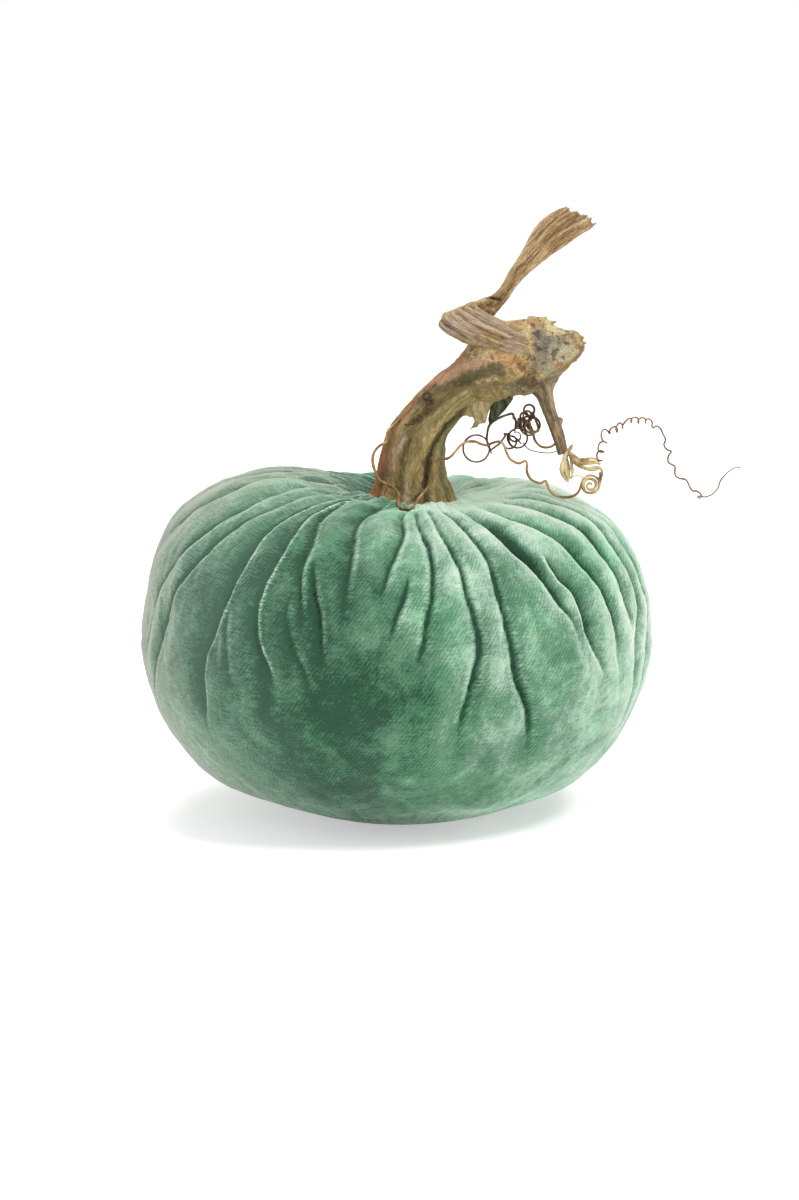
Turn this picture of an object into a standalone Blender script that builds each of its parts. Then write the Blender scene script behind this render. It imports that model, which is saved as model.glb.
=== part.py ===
"""Stuffed velvet pumpkin with a dried natural pumpkin stem, its vine stub and its tendrils.

A velvet bag is filled with polyester fibre over a small weight bag and drawn shut round a short
turned-in collar. The dried stem is fixed in the collar with a plug of hot-melt glue.

Frame: +Z up, front towards -Y, right towards +X, origin at the centre of the flat patch that the
cushion rests on. Dimensions are in millimetres and MM turns them into metres.
"""

import math

import bmesh
import bpy
from mathutils import Vector

MM = 0.001

# ---------------------------------------------------------------- driving dimensions, in mm
PLEATS = 32                 # gathers round the neck
PLEAT_DEPTH = 1.5           # half the height of a gather at the shoulder
PLEAT_SHARE = 0.2           # deepest half height of a gather, as a share of its facet's width
PLEAT_RISE = (24, 70)       # heights between which the gathers grow to full depth
PLEAT_FADE = (10, 17)       # radii between which they die out towards the neck
PLEAT_TOP_Z = 88.0          # above this the gathers go up and down, below it in and out
VELVET = 1.2                # pile fabric, face to back
FILL_INSET = 3.4            # filling to the outer face of the velvet
FILL_AROUND = 28            # facets round the filling
FILL_TOP_Z = 80.0           # flat top of the filling under the neck
REST_SLOPE = 0.35           # outward lean of the inset direction at the resting patch's edge
NECK_X = 5.0                # the neck sits a little to the right of the resting patch
NECK_SHIFT = (16, 52)       # radii between which that shift fades out
UPPER_Z = 60.0              # only points above this are shifted
REST_R = 18.0               # radius of the flat resting patch
COLLAR_R = 7.6              # inner radius of the turned-in collar
COLLAR_Z = 84.0             # lower edge of the collar
THREAD_R = 0.6              # thread of the neck and of the bag tie
THREAD_SLACK = 0.5          # velvet to the gathering thread
THREAD_Z = 87.0
KNOT_R = 1.2
TIE_RING_R = 5.3            # centre line of the thread round the weight bag's neck
TIE_Z = 33.0
BAG_WALL = 0.6
BARK_SHEET = 0.8            # thickness of a torn shard
GAP = 0.35                  # hairline between dried plant pieces that grew together

COVER_AROUND = 2 * PLEATS
THREAD_RING_R = COLLAR_R + VELVET + THREAD_SLACK + THREAD_R
THREAD_SIDE_X = NECK_X + THREAD_RING_R      # rightmost point of the thread's centre line

# Half outlines of the cushion, radius then height, from the resting patch to the lower edge of
# the collar. The cushion is plumper and higher on its left than on its right.
NECK = [(11, 91.8), (9, 90.4), (8, 89), (COLLAR_R, 87), (COLLAR_R, COLLAR_Z)]
RIGHT = [(REST_R, 0), (36, 3), (54, 11), (65.5, 22.5), (73, 36), (76, 48), (76.2, 57),
         (75, 68), (70.5, 80), (61, 90), (47, 96), (34, 97), (23, 95.6), (15, 93.6)] + NECK
LEFT = [(REST_R, 0), (37, 4.6), (56, 12.6), (67.6, 24), (73.6, 36), (76, 48), (75.4, 57),
        (74, 69), (70.6, 81), (63.5, 91), (52, 98.5), (38, 101.5), (25, 98.6), (15, 94.0)] + NECK
FRONT = [(REST_R, 0), (36, 2.8), (53, 11), (65, 22.5), (73, 36), (76, 48), (76, 57),
         (74, 68), (69, 79.5), (59.5, 89.5), (47, 95.2), (34, 97), (23, 95.6), (15, 93.6)] + NECK
BACK = [(REST_R, 0), (36, 2.8), (53, 11), (65, 22.5), (73, 36), (76, 48), (76, 57),
        (74, 68), (68.6, 79), (59, 87.6), (47, 92.4), (34, 94.4), (23, 94.4), (15, 93.4)] + NECK
OUTLINES = [[Vector((r, 0, z)) for r, z in half] for half in (RIGHT, LEFT, FRONT, BACK)]
COVER_RINGS = len(RIGHT)
FILL_RINGS = COVER_RINGS - len(NECK)        # the filling stops short of the neck

# Turned profiles, radius then height, from top to bottom.
BAG = [(7.0, 39.0), (4.4, 34.5), (4.4, 31.5), (6.4, 29.8), (24.0, 25.5), (33.0, 21.0),
       (36.0, 15.0), (33.0, 9.5), (26.0, 4.8), (15.0, 1.7), (0.0, 1.7)]
PELLETS = [(0.0, 27.2), (11.0, 26.6), (22.6, 24.0), (31.0, 20.0), (34.0, 15.0), (31.2, 10.4),
           (24.6, 6.0), (14.0, 2.8), (0.0, 2.8)]
BAG_ROOM = [(0.0, 41.0), (8.2, 41.0), (7.6, 36.0), (7.0, 31.5), (13.0, 29.8), (24.8, 26.8),
            (34.4, 21.8), (37.4, 15.0), (34.6, 8.6), (30.0, -3.0), (0.0, -3.0)]
GLUE = [(0.0, 95.3), (10.2, 95.3), (10.6, 95.0), (9.6, 94.3), (7.2, 92.8), (6.2, 90.5),
        (5.9, 88.0), (5.6, 84.8), (0.0, 84.8)]

# ---------------------------------------------------------------- a clean scene
for old in list(bpy.data.objects):
    bpy.data.objects.remove(old)

model = bpy.data.collections.new("velvet_pumpkin")
tools = bpy.data.collections.new("cutters")
bpy.context.scene.collection.children.link(model)
bpy.context.scene.collection.children.link(tools)


def material(name, rgb, roughness):
    made = bpy.data.materials.new(name)
    made.use_nodes = True
    shader = made.node_tree.nodes["Principled BSDF"]
    shader.inputs["Base Color"].default_value = (*rgb, 1.0)
    shader.inputs["Roughness"].default_value = roughness
    shader.inputs["Metallic"].default_value = 0.0
    made.diffuse_color = (*rgb, 1.0)
    return made


VELVET_MAT = material("velvet", rgb=(0.16, 0.42, 0.27), roughness=0.95)
FIBRE_MAT = material("polyester_fibre", rgb=(0.86, 0.86, 0.84), roughness=0.95)
MUSLIN_MAT = material("muslin", rgb=(0.72, 0.66, 0.54), roughness=0.9)
PELLET_MAT = material("pellets", rgb=(0.80, 0.79, 0.74), roughness=0.6)
THREAD_MAT = material("waxed_thread", rgb=(0.12, 0.30, 0.20), roughness=0.7)
GLUE_MAT = material("hot_melt", rgb=(0.72, 0.66, 0.48), roughness=0.35)
STEM_MAT = material("dried_stem", rgb=(0.30, 0.21, 0.11), roughness=0.85)
NODE_MAT = material("dried_node", rgb=(0.33, 0.27, 0.18), roughness=0.88)
BARK_MAT = material("dried_bark", rgb=(0.42, 0.33, 0.20), roughness=0.85)
DARK_MAT = material("dried_bark_inside", rgb=(0.16, 0.17, 0.12), roughness=0.88)
TENDRIL_MAT = material("dried_tendril", rgb=(0.24, 0.15, 0.07), roughness=0.7)


# ---------------------------------------------------------------- points
def smooth(points, steps):
    """Catmull-Rom through the points, with this many steps to a span."""
    p = [Vector(q) for q in points]
    p = [2 * p[0] - p[1]] + p + [2 * p[-1] - p[-2]]
    out = []
    for i in range(1, len(p) - 2):
        for k in range(steps):
            t = k / steps
            out.append(0.5 * (2 * p[i] + (p[i + 1] - p[i - 1]) * t
                              + (2 * p[i - 1] - 5 * p[i] + 4 * p[i + 1] - p[i + 2]) * t * t
                              + (3 * p[i] - p[i - 1] - 3 * p[i + 1] + p[i + 2]) * t * t * t))
    out.append(p[-2])
    return out


def ease(low, high, x):
    """Smooth step from 0 at low to 1 at high."""
    t = min(1.0, max(0.0, (x - low) / (high - low)))
    return t * t * (3 - 2 * t)


def ribbed(count, ribs, depth, wide=1.0, tall=1.0, turn=0.0):
    """A unit outline of count points with rounded ribs."""
    out = []
    for k in range(count):
        angle = 2 * math.pi * k / count
        radius = 1.0 + depth * math.cos(ribs * (angle + turn))
        out.append((wide * radius * math.cos(angle), tall * radius * math.sin(angle)))
    return out


def coil(path, radius, turns, per_turn, start=0.0, flat=1.0):
    """Points of a coil of this many turns wound round a smooth guide path."""
    guide = smooth(path, 12)
    lengths = [0.0]
    for here, ahead in zip(guide, guide[1:]):
        lengths.append(lengths[-1] + (ahead - here).length)
    out = []
    side = Vector((0, 1, 0))
    count = int(turns * per_turn)
    for k in range(count + 1):
        run = lengths[-1] * k / count
        i = max(j for j in range(len(lengths)) if lengths[j] <= run + 1e-9)
        i = min(i, len(guide) - 2)
        t = (run - lengths[i]) / max(1e-9, lengths[i + 1] - lengths[i])
        centre = guide[i].lerp(guide[i + 1], t)
        along = (guide[i + 1] - guide[i]).normalized()
        across = along.cross(side).normalized()
        deep = across.cross(along).normalized()
        angle = start + 2 * math.pi * k / per_turn
        # The first and last turns open out from the guide and close back onto it.
        opening = min(1.0, k / per_turn, (count - k) / per_turn)
        offset = math.cos(angle) * across + flat * math.sin(angle) * deep
        out.append(centre + radius * opening * offset)
    return out


def spiral(centre, start_deg, turns, steps, radius, widening, y_start, y_travel):
    """Points wound about an axis along Y; positive turns go from +X towards +Z."""
    out = []
    for k in range(steps + 1):
        angle = math.radians(start_deg) + 2 * math.pi * turns * k / steps
        r = radius + widening * k / steps
        y = y_start + y_travel * k / steps
        out.append(Vector(centre) + Vector((r * math.cos(angle), y, r * math.sin(angle))))
    return out


# ---------------------------------------------------------------- objects
def new_object(name, data, mat):
    made = bpy.data.objects.new(name, data)
    model.objects.link(made)
    if mat is not None:
        data.materials.append(mat)
    return made


def move_to(obj, collection):
    for current in list(obj.users_collection):
        current.objects.unlink(obj)
    collection.objects.link(obj)


def solidify(obj, thickness, offset=-1.0):
    wall = obj.modifiers.new("wall", "SOLIDIFY")
    wall.thickness = thickness * MM
    wall.offset = offset
    wall.use_even_offset = False


def cut(obj, cutter, operation="DIFFERENCE"):
    """Combine obj with a cutter, which is hidden among the tools."""
    cutter.hide_render = True
    cutter.display_type = "WIRE"
    move_to(cutter, tools)
    boolean = obj.modifiers.new(operation.lower() + "_" + cutter.name, "BOOLEAN")
    boolean.operation = operation
    boolean.solver = "EXACT"
    boolean.object = cutter


def turned(name, profile, mat, steps, x=0.0):
    """A profile of radius and height, turned about the vertical through x."""
    mesh = bpy.data.meshes.new(name)
    mesh.from_pydata([(r * MM, 0.0, z * MM) for r, z in profile],
                     [(i, i + 1) for i in range(len(profile) - 1)], [])
    obj = new_object(name, mesh, mat)
    obj.location = (x * MM, 0.0, 0.0)
    screw = obj.modifiers.new("turn", "SCREW")
    screw.axis = "Z"
    screw.angle = 2 * math.pi
    screw.steps = screw.render_steps = steps
    screw.use_merge_vertices = True
    screw.merge_threshold = 0.00005
    screw.use_smooth_shade = True
    return obj


def thread_ring(name, radius, segments, x, z):
    """A level ring of thread."""
    bpy.ops.mesh.primitive_torus_add(major_radius=radius * MM, minor_radius=THREAD_R * MM,
                                     major_segments=segments, minor_segments=8,
                                     location=(x * MM, 0, z * MM))
    ring = bpy.context.object
    ring.name = name
    move_to(ring, model)
    ring.data.materials.append(THREAD_MAT)
    ring.data.shade_smooth()
    return ring


def add_spline(curve, points, radii):
    """A poly spline through points in metres."""
    spline = curve.splines.new("POLY")
    spline.points.add(len(points) - 1)
    for knot_point, point, radius in zip(spline.points, points, radii):
        knot_point.co = (*point, 1.0)
        knot_point.radius = radius
    return spline


def section(name, outline):
    """A flat closed outline that a tube is swept with."""
    curve = bpy.data.curves.new(name, "CURVE")
    curve.dimensions = "2D"
    points = [(x * MM, y * MM, 0.0) for x, y in outline]
    add_spline(curve, points, [1.0] * len(points)).use_cyclic_u = True
    made = bpy.data.objects.new(name, curve)
    tools.objects.link(made)
    return made


def swept(name, path, radii, outline, mat, twist="MINIMUM"):
    """A capped mesh tube: the unit outline swept along path and scaled by radii."""
    curve = bpy.data.curves.new(name + "_path", "CURVE")
    curve.dimensions = "3D"
    curve.twist_mode = twist
    curve.twist_smooth = 0.0
    curve.resolution_u = 1
    curve.bevel_mode = "OBJECT"
    profile = section(name + "_section", outline)
    curve.bevel_object = profile
    curve.use_fill_caps = True
    add_spline(curve, [Vector(point) * MM for point in path], radii)
    guide = bpy.data.objects.new(name + "_path", curve)
    model.objects.link(guide)
    bpy.context.view_layer.update()
    graph = bpy.context.evaluated_depsgraph_get()
    mesh = bpy.data.meshes.new_from_object(guide.evaluated_get(graph))
    bm = bmesh.new()
    bm.from_mesh(mesh)
    bmesh.ops.remove_doubles(bm, verts=bm.verts, dist=0.00001)
    bmesh.ops.recalc_face_normals(bm, faces=bm.faces)
    bm.to_mesh(mesh)
    bm.free()
    made = new_object(name, mesh, mat)
    mesh.shade_smooth()
    mesh.set_sharp_from_angle(angle=math.radians(50))
    bpy.data.objects.remove(guide)
    bpy.data.objects.remove(profile)
    return made


def grown(name, mat, stations, outline, twist="MINIMUM", straight_start=False, grow=0.0):
    """A plant organ through stations of x, y, z and radius; grow makes it bigger all over."""
    smoothed = smooth(stations, 2)
    path = [station.xyz for station in smoothed]
    radii = [station.w + grow for station in smoothed]
    if straight_start:
        path[1] = Vector((path[0].x, path[0].y, path[1].z))
    if grow:
        path[0] = path[0] + (path[0] - path[1]).normalized() * grow
        path[-1] = path[-1] + (path[-1] - path[-2]).normalized() * grow
    return swept(name, path, radii, outline, mat, twist=twist)


def strand(name, path, radius, taper=0.0):
    """A thin round tendril, thinning towards its end by taper."""
    curve = bpy.data.curves.new(name, "CURVE")
    curve.dimensions = "3D"
    curve.resolution_u = 1
    curve.bevel_depth = radius * MM
    curve.bevel_resolution = 1
    curve.use_fill_caps = True
    last = len(path) - 1
    add_spline(curve, [Vector(point) * MM for point in path],
               [1.0 - taper * k / last for k in range(len(path))])
    new_object(name, curve, TENDRIL_MAT)


# ---------------------------------------------------------------- the cushion
def cushion_point(ring, angle):
    """A point of the plain cushion and its radius, blended between the four outlines."""
    c = math.cos(angle)
    right, left = max(0.0, c) ** 1.5, max(0.0, -c) ** 1.5
    back = ease(-0.5, 0.5, math.sin(angle)) * (1 - right - left)
    shares = (right, left, 1 - right - left - back, back)
    r = sum(share * outline[ring].x for share, outline in zip(shares, OUTLINES))
    z = sum(share * outline[ring].z for share, outline in zip(shares, OUTLINES))
    shift = NECK_X * (1 - ease(*NECK_SHIFT, r)) if z > UPPER_Z else 0.0
    return Vector((shift + r * c, r * math.sin(angle), z)), r


def cover_point(ring, k):
    """A point of the velvet's outer face, every other one raised into a pleat."""
    angle = 2 * math.pi * k / COVER_AROUND
    point, r = cushion_point(ring, angle)
    depth = min(PLEAT_DEPTH, PLEAT_SHARE * 2 * math.pi * r / COVER_AROUND)
    depth *= ease(*PLEAT_RISE, point.z) * ease(*PLEAT_FADE, r)
    wave = 1 if k % 2 == 0 else -1
    if point.z > PLEAT_TOP_Z:
        point.z += wave * depth
    else:
        point.x += wave * depth * math.cos(angle)
        point.y += wave * depth * math.sin(angle)
    return point


def fill_point(ring, k):
    """A point of the filling, set in from the plain cushion along the outline's normal."""
    angle = 2 * math.pi * k / FILL_AROUND
    c, s = math.cos(angle), math.sin(angle)
    point, _ = cushion_point(ring, angle)
    if ring == 0:
        point -= FILL_INSET * Vector((REST_SLOPE * c, REST_SLOPE * s, -1.0)).normalized()
        point.z = FILL_INSET
        return point
    below, _ = cushion_point(ring - 1, angle)
    above, _ = cushion_point(ring + 1, angle)
    along = (above - below).normalized()
    tangent = Vector((-s, c, 0.0))
    return point - FILL_INSET * tangent.cross(along).normalized()


def cushion_mesh(name, place, around, rings, close_top=None):
    """Rings of quads over one flat resting face; close_top is the height of a flat top."""
    bm = bmesh.new()
    rows = [[bm.verts.new(place(ring, k) * MM) for k in range(around)] for ring in range(rings)]
    if close_top is not None:
        rows.append([bm.verts.new((v.co.x, v.co.y, close_top * MM)) for v in rows[-1]])
    for low, high in zip(rows, rows[1:]):
        for k in range(around):
            j = (k + 1) % around
            bm.faces.new((low[k], low[j], high[j], high[k]))
    bm.faces.new(list(reversed(rows[0])))
    if close_top is not None:
        bm.faces.new(rows[-1])
    mesh = bpy.data.meshes.new(name)
    bm.to_mesh(mesh)
    bm.free()
    mesh.shade_smooth()
    return mesh


cover = new_object("velvet_cover",
                   cushion_mesh("velvet_cover", cover_point, COVER_AROUND, COVER_RINGS),
                   VELVET_MAT)
solidify(cover, VELVET)

filling = new_object("polyester_filling",
                     cushion_mesh("polyester_filling", fill_point, FILL_AROUND, FILL_RINGS,
                                  close_top=FILL_TOP_Z),
                     FIBRE_MAT)

# The weight bag: a muslin pouch of pellets on the inside of the resting patch, tied at its neck.
bag = turned("weight_bag", BAG, MUSLIN_MAT, steps=24)
solidify(bag, BAG_WALL)
turned("weight_pellets", PELLETS, PELLET_MAT, steps=24)
cut(filling, turned("room_for_bag", BAG_ROOM, None, steps=24))
thread_ring("bag_tie", TIE_RING_R, segments=24, x=0, z=TIE_Z)

# The gathering thread runs round the outside of the collar, with a knot and a tail on the right.
thread = thread_ring("gather_thread", THREAD_RING_R, segments=28, x=NECK_X, z=THREAD_Z)
bpy.ops.mesh.primitive_uv_sphere_add(radius=KNOT_R * MM, segments=12, ring_count=8,
                                     location=((THREAD_SIDE_X + 0.4) * MM, 0, THREAD_Z * MM))
knot = bpy.context.object
knot.name = "thread_knot"
knot.data.transform(knot.matrix_basis)
knot.matrix_basis.identity()
tail = swept("thread_tail",
             [(THREAD_SIDE_X + 0.6, 0.0, THREAD_Z - 0.2),
              (THREAD_SIDE_X + 1.2, 0.9, THREAD_Z - 1.8),
              (THREAD_SIDE_X + 1.0, 1.2, THREAD_Z - 3.4)],
             [0.5, 0.45, 0.4], ribbed(6, ribs=1, depth=0.0), None)
cut(thread, knot, "UNION")
cut(thread, tail, "UNION")

turned("glue_pad", GLUE, GLUE_MAT, steps=28, x=NECK_X)

# ---------------------------------------------------------------- the stem and what grows from it
# Stations are x, y, z and radius.
STEM = dict(
    stations=[(5.0, 0, 95.8, 12.4), (5.0, 0, 97.0, 11.6), (4.6, 0, 100.5, 10.4),
              (4.8, 0, 106.2, 9.4), (5.9, 0, 112.4, 8.6), (8.3, 0, 117.2, 7.4),
              (12.0, 0, 122.0, 6.8), (14.8, 0, 125.0, 6.7), (18.3, 0, 128.0, 6.9),
              (21.8, 0, 130.4, 7.5), (24.8, -0.5, 132.2, 8.2)],
    outline=ribbed(20, ribs=5, depth=0.09, turn=0.35), straight_start=True)
NODE = dict(
    stations=[(24.4, -0.6, 132.4, 8.4), (28.6, -1.0, 135.2, 10.4), (33.7, -1.5, 137.2, 11.2),
              (39.2, -1.5, 138.6, 11.0), (45.2, -1.5, 139.5, 8.6), (50.0, -1.5, 140.6, 5.4),
              (54.2, -1.5, 140.9, 2.7), (56.2, -1.5, 141.3, 1.4)],
    outline=ribbed(16, ribs=4, depth=0.05))
STALK = dict(
    stations=[(41.4, -1.8, 134.0, 3.6), (43.0, -1.9, 129.4, 3.3), (44.5, -2.2, 125.0, 2.7),
              (45.8, -3.0, 121.4, 2.3), (47.5, -4.0, 116.2, 1.9), (48.5, -5.0, 113.0, 1.8),
              (49.5, -6.0, 110.0, 1.7)],
    outline=ribbed(12, ribs=6, depth=0.06))
FOLD = dict(
    stations=[(35.0, -7.0, 145.0, 2.8), (29.1, -6.6, 146.2, 3.6), (23.2, -5.5, 147.0, 3.9),
              (18.1, -4.0, 147.4, 4.0), (14.9, -1.0, 147.6, 3.9), (14.3, 2.0, 148.1, 3.8),
              (16.5, 4.5, 148.8, 3.6), (19.8, 5.0, 149.6, 3.4), (22.5, 5.0, 150.2, 3.2)],
    outline=ribbed(16, ribs=8, depth=0.05, wide=0.5), twist="Z_UP")
BLADE = dict(
    stations=[(21.2, 4.6, 150.0, 2.6), (24.8, 4.0, 151.4, 2.6), (28.4, 3.5, 153.2, 2.4),
              (31.7, 3.0, 156.7, 2.1), (33.8, 3.0, 160.3, 2.0), (36.4, 3.0, 163.9, 2.5),
              (39.8, 3.0, 167.8, 3.0), (43.5, 3.5, 171.8, 3.7), (48.0, 4.0, 175.3, 4.1),
              (52.5, 5.0, 177.8, 4.4), (56.6, 6.0, 178.9, 4.1)],
    outline=ribbed(16, ribs=8, depth=0.05, wide=0.38), twist="Z_UP")
SHEATH = dict(
    stations=[(49.9, -6.6, 109.2, 1.8), (49.9, -7.4, 106.8, 2.3), (50.1, -8.0, 104.0, 2.0),
              (51.0, -8.2, 101.8, 1.0)],
    outline=ribbed(10, ribs=5, depth=0.08, wide=0.8))
FIBRE_SECTION = ribbed(8, ribs=2, depth=0.1)
UPPER_FIBRE = dict(
    stations=[(52.7, -7.6, 109.8, 0.7), (54.6, -8.6, 108.9, 0.9), (57.4, -9.4, 108.4, 0.9),
              (59.6, -9.6, 107.6, 0.6)],
    outline=FIBRE_SECTION)
LOWER_FIBRE = dict(
    stations=[(53.0, -8.0, 107.4, 0.8), (55.2, -9.4, 106.0, 1.1), (58.0, -10.4, 105.2, 1.1),
              (60.6, -10.8, 104.6, 0.7)],
    outline=FIBRE_SECTION)

grown("pumpkin_stem", STEM_MAT, **STEM)
node = grown("vine_node", NODE_MAT, **NODE)
grown("leaf_stalk", STEM_MAT, **STALK)
fold = grown("folded_vine", BARK_MAT, **FOLD)
blade = grown("vine_blade", BARK_MAT, **BLADE)


def clear_room(obj, name, organ):
    """Cut obj by an organ made GAP thicker, so that a hairline stays between the two."""
    cut(obj, grown(name, None, **organ, grow=GAP))


clear_room(node, "node_room_for_stem", STEM)
clear_room(node, "socket_for_stalk", STALK)
clear_room(fold, "fold_room_for_node", NODE)
clear_room(fold, "fold_room_for_stem", STEM)
clear_room(blade, "blade_room_for_fold", FOLD)

# The husk at the stalk's tip and two loose fibres to its right.
grown("stalk_sheath", BARK_MAT, **SHEATH)
grown("sheath_fibre_upper", BARK_MAT, **UPPER_FIBRE)
grown("sheath_fibre_lower", BARK_MAT, **LOWER_FIBRE)


def torn_sheet(name, top_left, top_right, tip, bulge, mat):
    """A torn shard of bark: a sheet curled to the front that narrows from its top edge to a tip."""
    bm = bmesh.new()
    top_left, top_right, tip = Vector(top_left), Vector(top_right), Vector(tip)
    rows = []
    for i in range(5):
        down = i / 5
        left, right = top_left.lerp(tip, down), top_right.lerp(tip, down)
        row = []
        for k in range(4):
            across = k / 3
            point = left.lerp(right, across)
            point.y -= bulge * math.sin(math.pi * across) * (1 - 0.5 * down)
            row.append(bm.verts.new(point * MM))
        rows.append(row)
    for low, high in zip(rows, rows[1:]):
        for k in range(3):
            bm.faces.new((low[k], low[k + 1], high[k + 1], high[k]))
    mesh = bpy.data.meshes.new(name)
    bm.to_mesh(mesh)
    bm.free()
    made = new_object(name, mesh, mat)
    solidify(made, BARK_SHEET, offset=0.0)
    return made


light_flap = torn_sheet("bark_flap_light", top_left=(18.6, -3.0, 124.0),
                        top_right=(30.4, -3.0, 127.0), tip=(23.0, -4.0, 115.0),
                        bulge=1.6, mat=BARK_MAT)
dark_flap = torn_sheet("bark_flap_dark", top_left=(28.0, 1.4, 126.0),
                       top_right=(36.4, 1.4, 126.8), tip=(28.2, 0.4, 116.4),
                       bulge=1.2, mat=DARK_MAT)
for n, flap in enumerate((light_flap, dark_flap)):
    clear_room(flap, "flap_room_for_stem_%d" % n, STEM)
    clear_room(flap, "flap_room_for_node_%d" % n, NODE)

# ---------------------------------------------------------------- the tendrils
# A short curled one on the front of the stem.
CURL = [(12.2, -10.4, 128.6), (9.6, -10.7, 125.4), (6.8, -10.9, 122.6), (3.6, -11.2, 119.6)]
strand("stem_curl_tendril",
       coil(CURL, radius=1.1, turns=4, per_turn=8, start=0.6, flat=0.55), radius=0.38)

# One long strand: a rolled end near the husk's tip, a wavy run to the left, a loop that lies
# over the neck, and a last turn round the stem's left side.
LOOPING = [
    (56.2, -11.6, 97.2), (53.2, -12.0, 97.9), (50.5, -12.0, 100.0), (49.3, -12.0, 102.2),
    (47.3, -11.0, 102.6), (44.9, -10.0, 104.3), (44.1, -9.5, 106.8), (42.9, -9.0, 108.2),
    (39.7, -8.0, 108.7), (37.3, -7.0, 110.3), (36.4, -6.5, 112.9), (34.7, -6.0, 114.6),
    (32.3, -6.0, 113.7), (30.2, -6.0, 112.5), (27.2, -6.5, 114.1), (23.6, -8.0, 113.6),
    (20.6, -10.0, 111.5), (18.4, -12.0, 109.4), (15.7, -13.4, 109.0), (14.0, -14.2, 107.1),
    (12.5, -15.2, 103.6), (10.4, -17.0, 100.4), (7.7, -19.0, 98.9), (5.0, -20.0, 98.2),
    (3.0, -20.0, 98.2), (1.2, -19.4, 98.8), (0.3, -18.4, 100.0), (-1.8, -17.2, 101.2),
    (-4.7, -15.6, 102.6), (-6.8, -14.0, 104.6), (-7.6, -13.0, 107.7), (-5.9, -12.4, 111.4),
    (-3.3, -11.8, 113.7), (-1.2, -11.4, 117.5), (1.2, -11.2, 118.6)]
roll = spiral((57.4, -12.0, 100.9), start_deg=150, turns=-1.9, steps=18,
              radius=1.5, widening=2.3, y_start=-1.6, y_travel=3.0)
strand("looping_tendril", roll + smooth([roll[-1]] + LOOPING, 2)[2:], radius=0.5, taper=0.25)

# A tangle that starts behind the stalk: a lead-in, a coil, a return and a ring behind the
# looping strand. The slices drop the points where one part runs into the next.
LEAD_IN = [(49.4, -2.4, 111.4), (47.0, -1.6, 109.6), (44.0, -0.4, 110.6), (42.6, 1.0, 113.6)]
TANGLE_COIL = [(42.6, 1.0, 114.6), (42.8, 2.0, 118.2), (40.6, 3.0, 120.4), (37.4, 3.6, 119.2),
               (36.2, 3.4, 116.4)]
RETURN = [(36.2, 4.4, 115.4), (38.4, 5.8, 119.0), (37.8, 5.6, 122.0), (34.2, 4.6, 121.0),
          (31.6, 3.0, 118.6), (30.4, 0.6, 115.6)]
tangle = smooth(LEAD_IN, 3)[:-1]
tangle += coil(TANGLE_COIL, radius=1.9, turns=6, per_turn=9)[4:]
tangle += smooth(RETURN, 3)[2:]
tangle += spiral((26.6, -3.0, 111.6), start_deg=20, turns=0.92, steps=14,
                 radius=4.2, widening=0.0, y_start=1.6, y_travel=-2.6)
strand("tangled_tendril", tangle, radius=0.38, taper=0.2)

# The free tendril: a springy coil, then a wavy tip.
SPRING = [(61.2, -10.4, 109.6), (60.0, -10.6, 113.4), (61.0, -11.0, 117.4), (64.6, -11.6, 119.0),
          (68.5, -12.0, 120.0), (72.0, -12.0, 120.8), (74.4, -12.0, 120.6)]
strand("spring_tendril", coil(SPRING, radius=1.15, turns=13, per_turn=8, flat=0.9),
       radius=0.42, taper=0.2)

TIP = [(75.6, -12.0, 120.0), (77.6, -11.2, 116.8), (78.6, -10.2, 113.2), (79.4, -9.0, 109.8),
       (81.2, -7.6, 107.4), (82.7, -6.4, 104.7), (85.9, -4.4, 101.0), (88.6, -2.6, 97.4),
       (91.6, -1.0, 95.4), (95.3, 0.0, 96.0), (98.4, 1.0, 99.6), (101.0, 1.6, 101.8),
       (103.8, 2.0, 102.9)]
TIP_WAVE = 0.55             # sideways swing
TIP_WAVE_RISE = 0.3         # share of the swing that also goes upwards
TIP_WAVE_POINTS = 8         # points to a wave
TIP_FADE_IN = 6             # points over which the wave grows
TIP_FADE_OUT = 40           # points by which it has died out
tip_path = smooth(TIP, 4)
for k, point in enumerate(tip_path):
    swing = TIP_WAVE * math.sin(2 * math.pi * k / TIP_WAVE_POINTS)
    swing *= min(1, k / TIP_FADE_IN) * max(0.0, 1 - k / TIP_FADE_OUT)
    point.x += swing
    point.z += TIP_WAVE_RISE * swing
strand("tendril_tip", tip_path, radius=0.34, taper=0.35)
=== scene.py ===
"""Stuffed velvet pumpkin: a gathered pile-fabric cushion, a dried ribbed stem with its vine stub, and
wiry tendrils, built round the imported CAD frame.

It rests on Z = 0, its front towards -Y and its right towards +X. Tables and shape code are in
millimetres, which make_mesh turns into metres.
"""

import math
from contextlib import contextmanager
from functools import reduce
from types import SimpleNamespace

import bmesh
import bpy
import numpy as np
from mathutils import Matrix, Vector
from mathutils.geometry import delaunay_2d_cdt


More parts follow.
